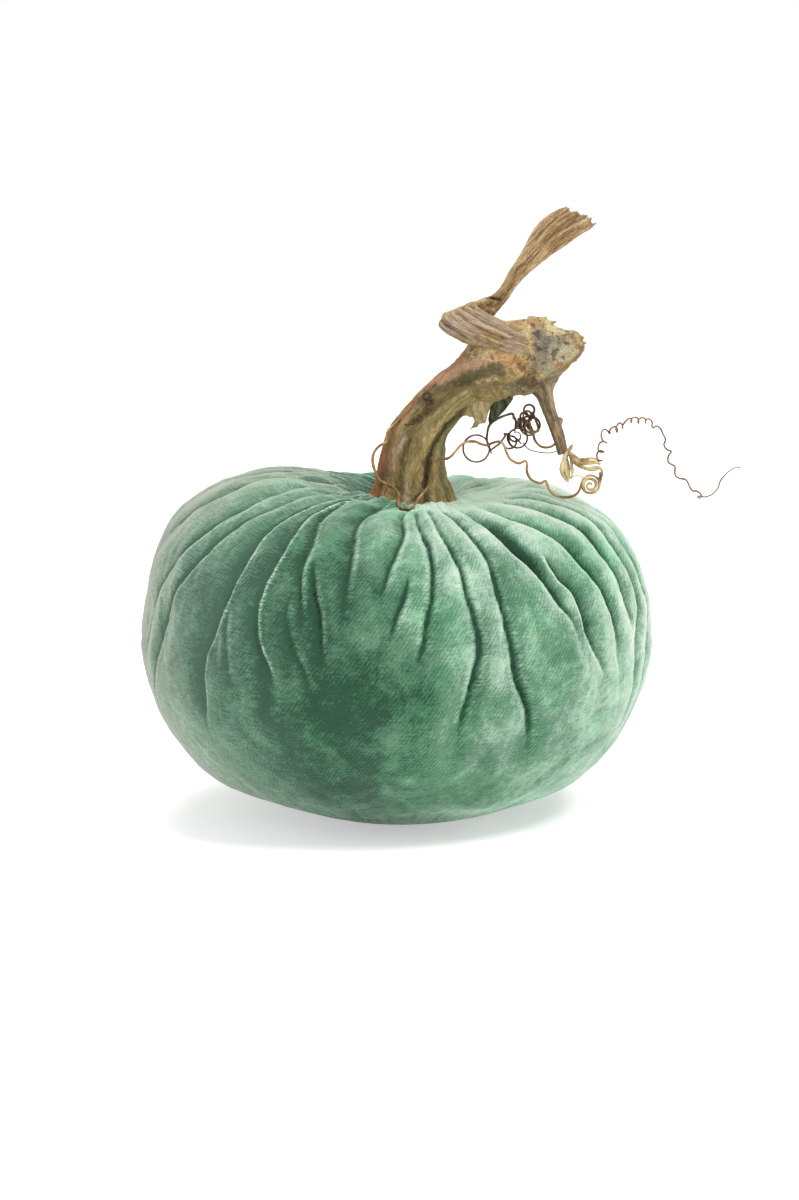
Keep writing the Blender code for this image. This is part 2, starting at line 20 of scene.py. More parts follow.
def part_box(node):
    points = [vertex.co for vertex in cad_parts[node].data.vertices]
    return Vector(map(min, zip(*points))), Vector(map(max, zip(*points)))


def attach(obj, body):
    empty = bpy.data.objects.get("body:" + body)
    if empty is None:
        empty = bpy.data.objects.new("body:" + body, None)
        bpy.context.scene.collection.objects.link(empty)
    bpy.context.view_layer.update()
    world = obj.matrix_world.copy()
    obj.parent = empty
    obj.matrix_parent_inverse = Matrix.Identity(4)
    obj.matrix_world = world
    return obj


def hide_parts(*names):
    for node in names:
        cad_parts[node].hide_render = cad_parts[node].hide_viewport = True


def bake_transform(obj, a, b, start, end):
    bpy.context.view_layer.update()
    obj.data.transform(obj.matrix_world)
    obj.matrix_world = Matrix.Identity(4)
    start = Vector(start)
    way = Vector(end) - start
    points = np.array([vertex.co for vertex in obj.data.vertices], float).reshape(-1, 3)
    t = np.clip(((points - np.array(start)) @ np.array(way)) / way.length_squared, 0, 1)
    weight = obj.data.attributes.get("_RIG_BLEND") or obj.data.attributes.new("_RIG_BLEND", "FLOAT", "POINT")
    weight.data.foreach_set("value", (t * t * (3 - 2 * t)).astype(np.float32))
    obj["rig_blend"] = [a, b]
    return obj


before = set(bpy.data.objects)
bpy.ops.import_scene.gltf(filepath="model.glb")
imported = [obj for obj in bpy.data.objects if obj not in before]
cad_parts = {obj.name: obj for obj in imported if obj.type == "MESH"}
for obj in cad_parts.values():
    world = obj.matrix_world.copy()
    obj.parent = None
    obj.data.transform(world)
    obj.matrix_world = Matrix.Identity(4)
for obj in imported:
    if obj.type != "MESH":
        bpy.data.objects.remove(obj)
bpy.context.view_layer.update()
MM = 0.001
RNG = np.random.default_rng(7)


# ================================================================ number tools
def table(text):
    """Rows of numbers: spaces part the numbers, commas part the rows."""
    return [tuple(float(word) for word in row.split()) for row in text.split(",")]


def tables(text):
    """Several tables, parted by semicolons."""
    return [table(part) for part in text.split(";")]


def ease(low, high, x):
    t = np.clip((x - low) / (high - low), 0.0, 1.0)
    return t * t * (3 - 2 * t)


def lattice(ix, iy, iz, seed):
    """A hashed value in -1..1 for every whole-number lattice point."""
    h = (ix.astype(np.int64) * 374761393 + iy.astype(np.int64) * 668265263
         + iz.astype(np.int64) * 1274126177 + seed * 974634777) & 0xFFFFFFFF
    h = ((h ^ (h >> 13)) * 1274126177) & 0xFFFFFFFF
    h = ((h ^ (h >> 16)) * 2246822519) & 0xFFFFFFFF
    return (h ^ (h >> 15)) / 2147483648.0 - 1.0


def noise(points, seed):
    """Smooth value noise in -1..1 at points (..., 3), one lattice cell to a unit."""
    points = np.asarray(points, float)
    cell = np.floor(points).astype(np.int64)
    part = points - cell
    part = part * part * part * (part * (part * 6 - 15) + 10)
    total = 0.0
    for corner in np.ndindex(2, 2, 2):
        wx, wy, wz = (part[..., k] if corner[k] else 1 - part[..., k] for k in range(3))
        corner_at = (cell[..., k] + corner[k] for k in range(3))
        total = total + wx * wy * wz * lattice(*corner_at, seed)
    return total


def octave_sum(points, octaves, seed, offset, shape):
    points = np.asarray(points, float)
    total, size, norm = 0.0, 1.0, 0.0
    for k in range(octaves):
        total = total + size * shape(noise(points * 2.0 ** k + offset * k, seed + k))
        norm += size
        size *= 0.5
    return total / norm


def fbm(points, octaves, seed):
    return octave_sum(points, octaves, seed, 17.3, lambda value: value)


def ridged(points, octaves, seed):
    """1 on thin ridges, falling to 0 between them."""
    return octave_sum(points, octaves, seed, 9.1,
                      lambda value: (1 - np.abs(value) * 2).clip(0, 1))


def smooth(points, steps):
    """Catmull-Rom through the rows of points."""
    p = np.asarray(points, float)
    p = np.vstack([2 * p[0] - p[1], p, 2 * p[-1] - p[-2]])
    t = (np.arange(steps) / steps)[:, None]
    out = []
    for i in range(1, len(p) - 2):
        out.append(0.5 * (2 * p[i] + (p[i + 1] - p[i - 1]) * t
                          + (2 * p[i - 1] - 5 * p[i] + 4 * p[i + 1] - p[i + 2]) * t ** 2
                          + (3 * p[i] - p[i - 1] - 3 * p[i + 1] + p[i + 2]) * t ** 3))
    out.append(p[-2:-1])
    return np.vstack(out)


def arc_length(points):
    return np.r_[0, np.cumsum(np.linalg.norm(np.diff(points, axis=0), axis=1))]


def resample(points, step=None, count=None):
    """Evenly spaced points along a line, and how far along it each lies."""
    arc = arc_length(points)
    count = count or max(2, int(round(arc[-1] / step)) + 1)
    run = np.linspace(0, arc[-1], count)
    return np.stack([np.interp(run, arc, column) for column in points.T], 1), run


def line_distance(flat_points, line):
    """Distance from points (n, 2) to a broken line."""
    nearest = np.full(len(flat_points), 1e9)
    line = np.array(line, float)
    for a, b in zip(line[:-1], line[1:]):
        t = np.clip(((flat_points - a) @ (b - a)) / ((b - a) @ (b - a)), 0, 1)
        gap = np.linalg.norm(flat_points - a - t[:, None] * (b - a), axis=1)
        nearest = np.minimum(nearest, gap)
    return nearest


def unit(vectors):
    return vectors / np.maximum(np.linalg.norm(vectors, axis=-1, keepdims=True), 1e-12)


def wrap(degrees):
    """Degrees brought into -180..180."""
    return (degrees + 180) % 360 - 180


def circle(count):
    return 2 * math.pi * np.arange(count) / count


def srgb(code):
    """Linear colour of a hex code."""
    c = np.array([int(code[k:k + 2], 16) for k in (1, 3, 5)]) / 255.0
    return np.where(c <= 0.04045, c / 12.92, ((c + 0.055) / 1.055) ** 2.4)


def rgba(code):
    return (*srgb(code), 1.0)


def mix(a, b, weight):
    weight = np.asarray(weight)[..., None]
    return a * (1 - weight) + b * weight


# ================================================================ mesh tools
def link(name, data):
    obj = bpy.data.objects.new(name, data)
    bpy.context.scene.collection.objects.link(obj)
    return obj


def make_mesh(name, points_mm, faces, uv=None):
    mesh = bpy.data.meshes.new(name)
    mesh.from_pydata((np.asarray(points_mm) * MM).tolist(), [], faces)
    if uv is not None:
        layer = mesh.uv_layers.new(name="skin")
        layer.data.foreach_set("uv", np.asarray(uv, np.float32).ravel())
    mesh.update()
    mesh.shade_smooth()
    return link(name, mesh)


@contextmanager
def editing(mesh):
    bm = bmesh.new()
    bm.from_mesh(mesh)
    yield bm
    bm.to_mesh(mesh)
    bm.free()


def read_vectors(mesh, what="co"):
    values = np.zeros(len(mesh.vertices) * 3, np.float32)
    mesh.vertices.foreach_get(what, values)
    return values.reshape(-1, 3)


def evaluated(obj):
    return obj.evaluated_get(bpy.context.evaluated_depsgraph_get())


def set_attribute(obj, name, kind, values):
    field = {"FLOAT": "value", "FLOAT_COLOR": "color", "FLOAT_VECTOR": "vector"}[kind]
    layer = obj.data.attributes.new(name, kind, "POINT")
    layer.data.foreach_set(field, np.asarray(values, np.float32).ravel())


def set_tone(obj, rgb):
    set_attribute(obj, "tone", "FLOAT_COLOR", np.c_[rgb, np.ones(len(rgb))])


def set_blend(obj, weights):
    layer = obj.data.attributes["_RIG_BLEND"]
    layer.data.foreach_set("value", weights.astype(np.float32))


def register(obj, slot, *parts, body=None):
    """Says which body the object rides on and which CAD parts it replaces. The slot is not used."""
    if body:
        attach(obj, body)
    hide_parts(*parts)


def grid_faces(columns, rows, start=0):
    """Quads over a grid closed round its columns; a vertex is start + column * rows + row."""
    u, v = np.meshgrid(np.arange(columns), np.arange(rows - 1), indexing="ij")
    w = (u + 1) % columns
    corners = [u * rows + v, w * rows + v, w * rows + v + 1, u * rows + v + 1]
    return (start + np.stack(corners, -1)).reshape(-1, 4).tolist()


def grid_normals(grid):
    normals = unit(np.cross(np.roll(grid, -1, 0) - np.roll(grid, 1, 0), np.gradient(grid, axis=1)))
    normals[:, 0] = (0, 0, -1)
    return normals


def frames(path, ref=None):
    """Tangent, right and back directions along a path. With ref, right stays square to ref."""
    tangent = unit(np.gradient(path, axis=0))
    if ref is not None:
        right = unit(np.cross(np.broadcast_to(ref, tangent.shape), tangent))
    else:
        first = [0.0, 1.0, 0.0] if abs(tangent[0][1]) < 0.9 else [1.0, 0.0, 0.0]
        right = np.zeros_like(tangent)
        side = unit(np.cross(first, tangent[0]))
        for k, ahead in enumerate(tangent):
            side = unit(side - ahead * (side @ ahead))
            right[k] = side
    return tangent, right, np.cross(tangent, right)


class Shells:
    """Closed shells gathered into one mesh."""

    def __init__(self):
        self.verts, self.faces, self.count = [], [], 0

    def close(self, grid, low_tip, high_tip):
        """Adds a grid (round, along, 3) closed by a fan of triangles at either end."""
        columns, rows = grid.shape[:2]
        base = self.count
        self.verts += [grid.reshape(-1, 3), [low_tip], [high_tip]]
        self.faces += grid_faces(columns, rows, base)
        low = base + columns * rows
        for k in range(columns):
            here, beside = base + k * rows, base + (k + 1) % columns * rows
            self.faces.append([beside, here, low])
            self.faces.append([here + rows - 1, beside + rows - 1, low + 1])
        self.count += columns * rows + 2

    def tube(self, path, radii, sides, ref=None, wide=1.0, tall=1.0, axes=None):
        """A closed tube. radii is per ring, or per ring and side; axes are its own right and back."""
        path = np.asarray(path, float)
        right, back = axes or frames(path, ref)[1:]
        radii = np.asarray(radii, float)
        if radii.ndim == 1:
            radii = radii[:, None] * np.ones(sides)
        c, s = wide * np.cos(circle(sides)), tall * np.sin(circle(sides))
        ring = path[:, None, :] + radii[:, :, None] * (
            c[None, :, None] * right[:, None, :] + s[None, :, None] * back[:, None, :])
        self.close(ring.transpose(1, 0, 2), path[0], path[-1])

    def array(self):
        return np.vstack(self.verts)


# ================================================================ shader tools
class Nodes:
    """A material on the Principled shader, with short ways of adding nodes."""

    def __init__(self, name):
        self.material = bpy.data.materials.new(name)
        self.material.use_nodes = True
        self.tree = self.material.node_tree
        self.shader = self.tree.nodes["Principled BSDF"]

    def put(self, socket, value):
        if isinstance(value, bpy.types.NodeSocket):
            self.tree.links.new(value, socket)
        else:
            socket.default_value = value

    def surface(self, inputs):
        """Sets the shader's inputs and gives the finished material."""
        for name, value in inputs.items():
            self.put(self.shader.inputs[name], value)
        return self.material

    def add(self, kind, inputs=None, **settings):
        node = self.tree.nodes.new("ShaderNode" + kind)
        for name, value in settings.items():
            setattr(node, name, value)
        for name, value in (inputs or {}).items():
            self.put(node.inputs[name], value)
        return node

    def object_place(self):
        return self.add("TexCoord").outputs["Object"]

    def calc(self, operation, a, b=0.0, c=0.0):
        return self.add("Math", {0: a, 1: b, 2: c}, operation=operation).outputs[0]

    def plus(self, a, b):
        return self.calc("ADD", a, b)

    def times(self, a, b):
        return self.calc("MULTIPLY", a, b)

    def times_plus(self, value, by, plus):
        return self.calc("MULTIPLY_ADD", value, by, plus)

    def away(self, value, middle):
        """How far the value lies from the middle."""
        return self.calc("ABSOLUTE", self.plus(value, -middle))

    def remap(self, value, span, to=(0.0, 1.0)):
        return self.add("MapRange", {"Value": value, "From Min": span[0], "From Max": span[1],
                                     "To Min": to[0], "To Max": to[1]}).outputs[0]

    def region(self, *parts):
        """The product of several remaps."""
        return reduce(self.times, [self.remap(*part) for part in parts])

    def blend(self, weight, a, b, how="MIX"):
        node = self.add("Mix", {0: weight}, data_type="RGBA", blend_type=how)
        self.put(node.inputs[6], a)
        self.put(node.inputs[7], b)
        return node.outputs[2]

    def shaded(self, tone, shade):
        """The tone darkened or lightened by a grey shade."""
        grey = self.add("CombineColor", dict.fromkeys(("Red", "Green", "Blue"), shade))
        return self.blend(1.0, tone, grey.outputs[0], "MULTIPLY")

    def ramp(self, value, stops):
        node = self.add("ValToRGB", {0: value})
        elements = node.color_ramp.elements
        while len(elements) < len(stops):
            elements.new(0.5)
        for element, (position, code) in zip(elements, stops):
            element.position = position
            element.color = rgba(code)
        return node.outputs[0]

    def noise(self, vector, scale, detail, rough, distort=0.0):
        return self.add("TexNoise", {"Vector": vector, "Scale": scale, "Detail": detail,
                                     "Roughness": rough, "Distortion": distort}).outputs["Fac"]

    def attribute(self, name, what="Fac"):
        return self.add("Attribute", attribute_name=name).outputs[what]

    def bump(self, height, strength, distance):
        return self.add("Bump", {"Height": height, "Strength": strength,
                                 "Distance": distance}).outputs["Normal"]


# ================================================================ cushion: outline
NECK_X = 5.0
COLUMNS, ROWS = 720, 250
OUTLINE_STEPS = 12
# Radius and height from the middle of the resting patch, over the shoulder, down into the collar.
PATCH = table("0 0, 9 0, 18 0")
COLLAR = table("9 90.8, 8.2 89, 8 86.5")
# In turn the right, left, front and back outlines between patch and collar.
OUTLINES = tables("""
    36 3, 54 11, 65.5 22.5, 73 36, 76 48, 76.2 57, 75 68,
    70.5 80, 61 90, 47 96, 34 97, 23 95.8, 15 94.6, 11 92.8;
    37 4.6, 56 12.6, 67.6 24, 73.6 36, 76 48, 75.4 57, 74 69,
    70.6 81, 63.5 91, 52 98.5, 38 101.5, 25 99.2, 15 95.8, 11 93.2;
    36 2.8, 53 11, 65 22.5, 73 36, 76 48, 76 57, 74 68,
    69 79.5, 59.5 89.5, 47 94.8, 34 96.2, 23 95, 15 94.2, 11 92.8;
    36 2.8, 53 11, 65 22.5, 73 36, 76 48, 76 57, 74 68,
    68.6 79, 59 87.6, 47 92.4, 34 94.4, 23 94.6, 15 94, 11 92.8""")
# The collar's first point, from which distance down the skin is counted.
NECK_ROW = (len(PATCH) + len(OUTLINES[0])) * OUTLINE_STEPS

angles = circle(COLUMNS)
cos, sin = np.cos(angles), np.sin(angles)
azimuth = (np.degrees(angles) + 90)[:, None]     # degrees to the right of the front
around = wrap(azimuth)
fine = [smooth(PATCH + outline + COLLAR, OUTLINE_STEPS) for outline in OUTLINES]
share_right, share_left = np.clip(cos, 0, 1) ** 1.5, np.clip(-cos, 0, 1) ** 1.5
share_back = ease(-0.5, 0.5, sin) * (1 - share_right - share_left)
share_front = 1 - share_right - share_left - share_back
outlines_round = sum(share[:, None, None] * outline for share, outline in
                     zip((share_right, share_left, share_front, share_back), fine))
base = np.zeros((COLUMNS, ROWS, 3))
down = np.zeros((COLUMNS, ROWS))        # mm along the skin from the neck
radius = np.zeros((COLUMNS, ROWS))
for k, outline in enumerate(outlines_round):
    arc = arc_length(outline)
    want = np.linspace(0, 1, ROWS) ** 0.97 * arc[-1]
    r = np.interp(want, arc, outline[:, 0])
    z = np.interp(want, arc, outline[:, 1])
    radius[k] = r
    down[k] = arc[NECK_ROW] - want
    shift = np.where(z > 60, NECK_X * (1 - ease(16, 52, r)), 0.0)
    base[k] = np.stack([shift + r * cos[k], r * sin[k], z], 1)

# ================================================================ cushion: folds
# Stations of each fold: distance from the neck along the skin, azimuth, depth.
FOLDS = tables("""
    4 -112 .8, 20 -108 1.5, 42 -102 2.2, 62 -101 2.4, 82 -105 2.2, 104 -110 1.3, 120 -112 0;
    4 -101 .8, 20 -96 1.5, 40 -89 2.2, 58 -88 2.4, 78 -92 2.2, 98 -97 1.8, 116 -101 1, 128 -103 0;
    4 -88 .8, 20 -82 1.5, 37 -76 2.2, 47 -73 2.4, 57 -75 2.5, 70 -80 2.4, 85 -84 2.1,
    101 -88 1.8, 116 -93 1.1, 130 -96 0;
    4 -74 .8, 20 -64 1.5, 37 -56 2.2, 46 -54 2.5, 55 -56 2.6, 69 -62 2.5, 80 -68 2.3,
    91 -73 2, 105 -78 1.6, 119 -82 1, 132 -85 0;
    4 -60 .8, 20 -50 1.5, 30 -46 2, 43 -45 2.4, 54 -48 2.6, 69 -54 2.6, 83 -60 2.2,
    97 -65 1.5, 112 -69 .9, 124 -72 0;
    4 -44 .8, 20 -38 1.5, 36 -35 2.3, 45 -36 2.5, 54 -38 2.5, 71 -40 2.3, 86 -43 2.1,
    95 -46 1.8, 109 -47 1, 122 -48 0;
    4 -36 .8, 20 -31 1.4, 36 -30 2.2, 58 -30 2.4, 72 -32 2.3, 82 -32 2.7, 88 -31 2.6,
    93 -29 1.8, 98 -27 0;
    22 -30 0, 34 -28 2, 45 -26 2.9, 55 -24 2.9, 63 -24 2.5, 75 -22 1.7, 83 -21 0;
    60 -21 0, 68 -20 2.3, 76 -18 2.8, 84 -17 2.5, 91 -16 0;
    6 -18 .8, 20 -16 1.5, 35 -14 2.5, 47 -13 2.9, 56 -12 2.6, 64 -12 2.1, 72 -12 1, 79 -12 0;
    6 -3 .8, 20 0 1.5, 35 1 2.5, 44 2 3.2, 54 0 3.3, 61 -2 2.5, 71 -4 0;
    62 3 0, 68 2 2, 75 0 2.1, 83 -2 0;
    10 4 .6, 30 6 1.3, 47 8 2.4, 53 9 3, 61 9 3.2, 70 8 3.2, 75 7 3.4, 82 6 2.8, 89 4 0;
    6 8 .8, 25 11 1.5, 42 13 2.2, 50 14 2.6, 61 16 2.7, 68 16 2.6, 75 17 2.8, 82 18 3.2,
    87 18 3.9, 93 17 4.5, 97 16 4.6, 103 15 3.2, 111 14 0;
    6 17 .8, 25 19 1.5, 45 22 2.4, 55 23 3, 61 24 3.4, 68 24 3.6, 74 24.5 3.8, 80 25 4,
    87 26 4.6, 95 27 5, 101 29 4.8, 107 31 3.7, 113 32 1.6, 121 33 0;
    6 23 .8, 20 25 1.7, 30 27 2.8, 42 29 4.4, 50 30.5 5.6, 57 32.5 6.2, 63 36 5.8, 68 38 4.8,
    75 40 3.2, 80 42 1.4, 87 44 0;
    60 40 0, 68 42 3.2, 73 45 3.6, 78 46 3.6, 84 47 3.3, 90 49 2.6, 95 51 1.2, 102 53 0;
    6 33 .8, 19 38 1.7, 34 41 3, 42 43 3.6, 48 45.5 3.8, 53 48 3.8, 59 50 3.5, 65 51.5 3.3,
    73 55 3, 79 56.5 2.6, 85 58 1.8, 95 60 0;
    6 46 .8, 16 50 1.7, 29 54 2.8, 38 58 3.1, 51 60.5 3.1, 58 62 3, 65 62 2.8, 73 64 2.6,
    82 65 2, 91 66 0;
    6 60 .8, 20 66 1.5, 35 70 2.2, 49 71 2.5, 66 70.5 2.7, 80 71 2.3, 94 70 1.7, 110 68 .9,
    122 67 0;
    6 72 .8, 20 76 1.5, 40 79 2.2, 62 79 2.4, 84 80 2, 104 79 1.5, 120 77 .8, 130 76 0;
    6 84 .8, 20 86 1.5, 40 88 2.2, 62 89 2.2, 84 88 2, 104 88 1.2, 118 87 0;
    66 -40 0, 76 -41 .9, 84 -40 1.2, 92 -39 1, 104 -37 0;
    70 -24 0, 78 -25 1, 86 -23 1.4, 93 -20 .9, 102 -17 0;
    70 -110 0, 84 -108 1.4, 104 -106 1.5, 124 -104 .9, 138 -103 0;
    88 -76 0, 100 -78 1.1, 116 -79 1.3, 130 -78 .8, 142 -76 0""")
POCKET_FOLD = 15        # this one opens into a deep pocket, painted dark inside as shade
BACK_FROM, BACK_TO = 97.0, 241
at = BACK_FROM
while at < BACK_TO:
    reach, depth, lean = RNG.uniform(84, 122), RNG.uniform(1.9, 3.0), RNG.uniform(-5, 5)
    RNG.uniform(size=2)     # two spare draws hold the place of the later ones
    FOLDS.append([(5, at, .8), (20, at + .2 * lean, 1.5), (40, at + .5 * lean, .9 * depth),
                  (60, at + .8 * lean, depth), (reach - 22, at + lean, .9 * depth),
                  (reach - 10, at + 1.1 * lean, .5 * depth), (reach, at + 1.1 * lean, 0)])
    at += RNG.uniform(8.5, 12.0)

# Every fold sampled evenly down the skin: azimuth and depth, then half the way to its neighbours.
SAMPLES = np.arange(0.0, 200.0, 0.5)
front_arc = arc_length(fine[2])
radius_at = np.interp(front_arc[NECK_ROW] - SAMPLES, front_arc, fine[2][:, 0])


def fold_track(stations):
    line = np.array(stations, float)
    curve = smooth(line, 8)
    curve = curve[np.argsort(curve[:, 0])]
    seam = np.interp(SAMPLES, curve[:, 0], curve[:, 1])
    depth = np.interp(SAMPLES, curve[:, 0], np.clip(curve[:, 2], 0, None), left=0, right=0)
    first, _, first_depth = line[0]
    depth = np.where(SAMPLES < first, first_depth * ease(-4, first, SAMPLES), depth)
    by_neck = 0.5 if abs(line[:, 1].mean()) > 28 else -0.15
    return seam, depth * (1 + by_neck * (1 - ease(12, 34, SAMPLES)))


def evened(width):
    kernel = np.hanning(31)
    kernel /= kernel.sum()
    return np.convolve(np.pad(np.clip(width, 1.3, 6.5), 15, mode="edge"), kernel, "valid")


def half_gaps(number):
    """Half the way from a fold to the nearest one on its left and on its right."""
    left = np.full(len(SAMPLES), 9.0)
    right = left.copy()
    for other, (seam, depth) in enumerate(tracks):
        if other == number:
            continue
        gap = wrap(seam - tracks[number][0]) * math.pi / 180 * radius_at / 2
        there = depth > 0.45
        right = np.where(there & (gap > 0), np.minimum(right, gap), right)
        left = np.where(there & (gap < 0), np.minimum(left, -gap), left)
    return evened(left), evened(right)


def lap_of(stations, middle):
    """Which side of a valley carries the lip of a pleat: 1 right, -1 left, 0 soft on both.

    Pleats lap over one another towards the front. Short creases in the middle are soft.
    """
    if stations[0][0] > 55 and abs(middle) < 40:
        return 0.0
    if middle > 95:
        return -1.0 if middle < 150 else 1.0 if middle > 210 else 0.0
    return 1.0 if -95 < middle < -27 else -1.0 if 33 < middle < 95 else 0.0


def arch(x):
    """1 at a seam, falling to 0 one half width away along a round arch."""
    x = np.clip(x, 0.0, 1.0)
    return 1 - np.sqrt(np.clip(1 - (1 - x) ** 2, 0, 1))


tracks = [fold_track(stations) for stations in FOLDS]
valley = np.zeros((COLUMNS, ROWS))      # how far the skin is pulled in
slit = np.zeros((COLUMNS, ROWS))        # 1 in the bottom of a fold, where the velvet colour gets painted shade
lip = np.zeros((COLUMNS, ROWS))         # how far a lapping pleat stands proud
rim = np.zeros((COLUMNS, ROWS))         # 1 on the raised lip of a pleat, which gets a painted highlight
across = np.clip(radius / 62.0, 0.2, 1.1)
for number, stations in enumerate(FOLDS):
    def along_noise(length, spacing, seed):
        """Noise that changes down the skin only, different on each fold."""
        where_at = [down / length, 0 * down + spacing * number, 0 * down]
        return noise(np.stack(where_at, -1), seed)

    middle = np.mean([station[1] for station in stations])
    lap = lap_of(stations, middle)
    seam, pull, half_left, half_right = (
        np.interp(down, SAMPLES, track) for track in (*tracks[number], *half_gaps(number)))
    pull = pull * np.minimum(1.0, across * 2.2)
    pull = pull * (1 + 0.22 * along_noise(14.0, 3.7, 71))
    if -100 < middle < -27:
        pull = pull * (0.72 + 0.28 * ease(78, 92, down))
    # Distance square to the seam, which runs at a slant.
    down_step = np.minimum(np.gradient(down, axis=1), -1e-3)
    slope = np.gradient(seam, axis=1) / down_step * math.pi / 180 * radius
    lean = 1 / np.sqrt(1 + np.clip(slope, -1.5, 1.5) ** 2)
    waver = 0.22 * noise(base / 4.0, 60 + number % 3)
    off_seam = (wrap(azimuth - seam) * math.pi / 180 * radius + waver) * lean
    half_left = half_left * lean * (0.65 if lap < 0 else 0.95 if lap > 0 else 1.0)
    half_right = half_right * lean * (0.50 if lap > 0 else 1.2 if lap < 0 else 1.0)
    shingle = lap > 0 and middle < -27
    if shingle:     # the left pleats lie like shingles, with hardly a valley between them,
        rolled = 1 - ease(26, 50, down)     # but near the neck they stand up as rolls
        reach = np.where(off_seam < 0, (0.45 + 0.40 * rolled) * half_left,
                         (0.62 + 0.30 * rolled) * half_right)
        valley += (0.62 + 0.45 * rolled) * pull * arch(np.abs(off_seam) / reach)
        past = np.clip(off_seam, 0, None)
        lip += 0.42 * pull * np.exp(-past / (1.9 * half_right)) * (1 - np.exp(-past / 0.7))
    else:
        valley += pull * arch(np.abs(off_seam) / np.where(off_seam < 0, half_left, half_right))
    if number == POCKET_FOLD:
        slit = np.maximum(slit, 1.1 * np.exp(-((off_seam - 1.5) / 2.1) ** 2)
                          * np.exp(-((down - 55.0) / 10.0) ** 2))
    towards_lip = off_seam / across * (lap or 1.0)
    if lap:
        rim = np.maximum(rim, np.clip(pull / 1.3, 0, 1.1) * (0.92 if shingle else 0.72)
                         * (1 + 0.6 * along_noise(8.0, 5.1, 73))
                         * np.exp(-((towards_lip - 0.95) / 0.62) ** 2))
        slit = np.maximum(slit, np.clip(pull / 1.8, 0, 1.15) * (1.15 if shingle else 0.88)
                          * (1 + 0.5 * along_noise(8.0, 4.9, 79))
                          * np.exp(-(np.abs(towards_lip + 0.08) / 0.42) ** 1.3))
    else:
        strong = np.clip(pull / 2.4, 0, 1.2)
        side = towards_lip if middle < 5 else np.abs(towards_lip)
        rim = np.maximum(rim, (0.85 if middle < 5 else 0.5) * strong
                         * np.exp(-((side - 1.35) / 0.75) ** 2))
        narrow = 0.30 + 0.18 * along_noise(5.0, 2.9, 75)
        patchy = 0.82 + 0.60 * along_noise(9.0, 4.3, 77)
        slit = np.maximum(slit, np.clip(1.2 * strong * patchy, 0, 1.2)
                          * np.exp(-(np.abs(towards_lip) / np.maximum(narrow, 0.14)) ** 1.2))

# ================================================================ cushion: relief and settling
lump = 1.1 * fbm(base / 30.0, 3, 5) + (0.30 + 0.70 * ease(28, 70, down)) * (
    0.40 * fbm(base / 9.0, 3, 11) + 0.12 * fbm(base / 3.0, 2, 21))
rise = ease(0.0, 12.0, base[..., 2])
gather = (0.38 * np.cos(46 * angles[:, None] + 5.0 * noise(base / 12.0, 31))
          * ease(3, 9, down) * (1 - ease(14, 36, down)))
pile = 0.07 * noise(base / 0.9, 51) + 0.05 * noise(base / 1.7, 52)
right_flat = 1 - 0.75 * np.clip(cos[:, None], 0, 1) * ease(40, 70, down)
# Round swellings on the top: X, Y, reach, height. A larger oval one lies back right of the neck.
SWELLINGS = table("""-10.5 -15.5 4.2 1.5, -3.6 -20.5 4.6 1.9, 4.6 -23 4 1.5, 12.6 -21 4.2 1.6,
    19.5 -15 4.2 1.2, 9 -13.5 4.5 1.4, 20 -1 4.5 .8""")
base_x, base_y, base_z = np.moveaxis(base, -1, 0)
swell = 3.4 * np.exp(-((base_x - 20.5) / 6.5) ** 2 - ((base_y - 15.0) / 7.0) ** 2) * (base_z > 60)
for x, y, reach, height in SWELLINGS:
    swell += (height * np.exp(-((base_x - x) ** 2 + (base_y - y) ** 2) / reach ** 2)
              * (base_z > 60))
front_dip = ((np.abs(around) < 90) * np.clip(sin[:, None] * -1.4, 0, 1)
             * (1 - ease(34, 60, down)))
puff = (1.2 * right_flat * (1 - ease(96, 125, down)) * ease(10, 34, down)
        * (1 - 0.7 * front_dip))
shaped = (puff - np.minimum(valley, 8.0) + lip + gather + lump * ease(2, 25, down) + swell) * rise
unsettled = base + shaped[..., None] * grid_normals(base)

SETTLE_FRAMES = 16
SETTLE_SCALE = 0.01     # ten times the true size
CLOTH = dict(
    quality=6, mass=0.25, air_damping=4.0, tension_stiffness=22.0, compression_stiffness=22.0,
    shear_stiffness=8.0, bending_model="ANGULAR", bending_stiffness=2.0, tension_damping=8.0,
    compression_damping=8.0, shear_damping=8.0, bending_damping=0.6, vertex_group_mass="held",
    pin_stiffness=6.0, shrink_min=-0.018, use_pressure=True, uniform_pressure_force=4.5)


def settle(points, hold):
    """Lets the gathered skin fill out as cloth, the filling pressing from inside.

    Seams, neck and resting patch are held. Takes and gives a grid (round, along, 3) in mm.
    """
    mesh = bpy.data.meshes.new("settling")
    mesh.from_pydata((points.reshape(-1, 3) * SETTLE_SCALE).tolist(), [],
                     grid_faces(*points.shape[:2]))
    obj = link("settling", mesh)
    group = obj.vertex_groups.new(name="held")
    weights = np.round(hold.reshape(-1), 1)
    for weight in np.unique(weights):
        if weight > 0:
            group.add(np.flatnonzero(weights == weight).tolist(), float(weight), "REPLACE")
    cloth = obj.modifiers.new("cloth", "CLOTH")
    for name, value in CLOTH.items():
        setattr(cloth.settings, name, value)
    cloth.settings.effector_weights.gravity = 0.0
    cloth.collision_settings.use_collision = False
    cloth.collision_settings.use_self_collision = False
    scene = bpy.context.scene
    for timed in (scene, cloth.point_cache):
        timed.frame_start, timed.frame_end = 1, SETTLE_FRAMES
    for frame_number in range(1, SETTLE_FRAMES + 1):
        scene.frame_set(frame_number)
    settled = read_vectors(evaluated(obj).data).reshape(points.shape).astype(float) * 100.0
    scene.frame_set(1)
    bpy.data.objects.remove(obj)
    bpy.data.meshes.remove(mesh)
    return settled


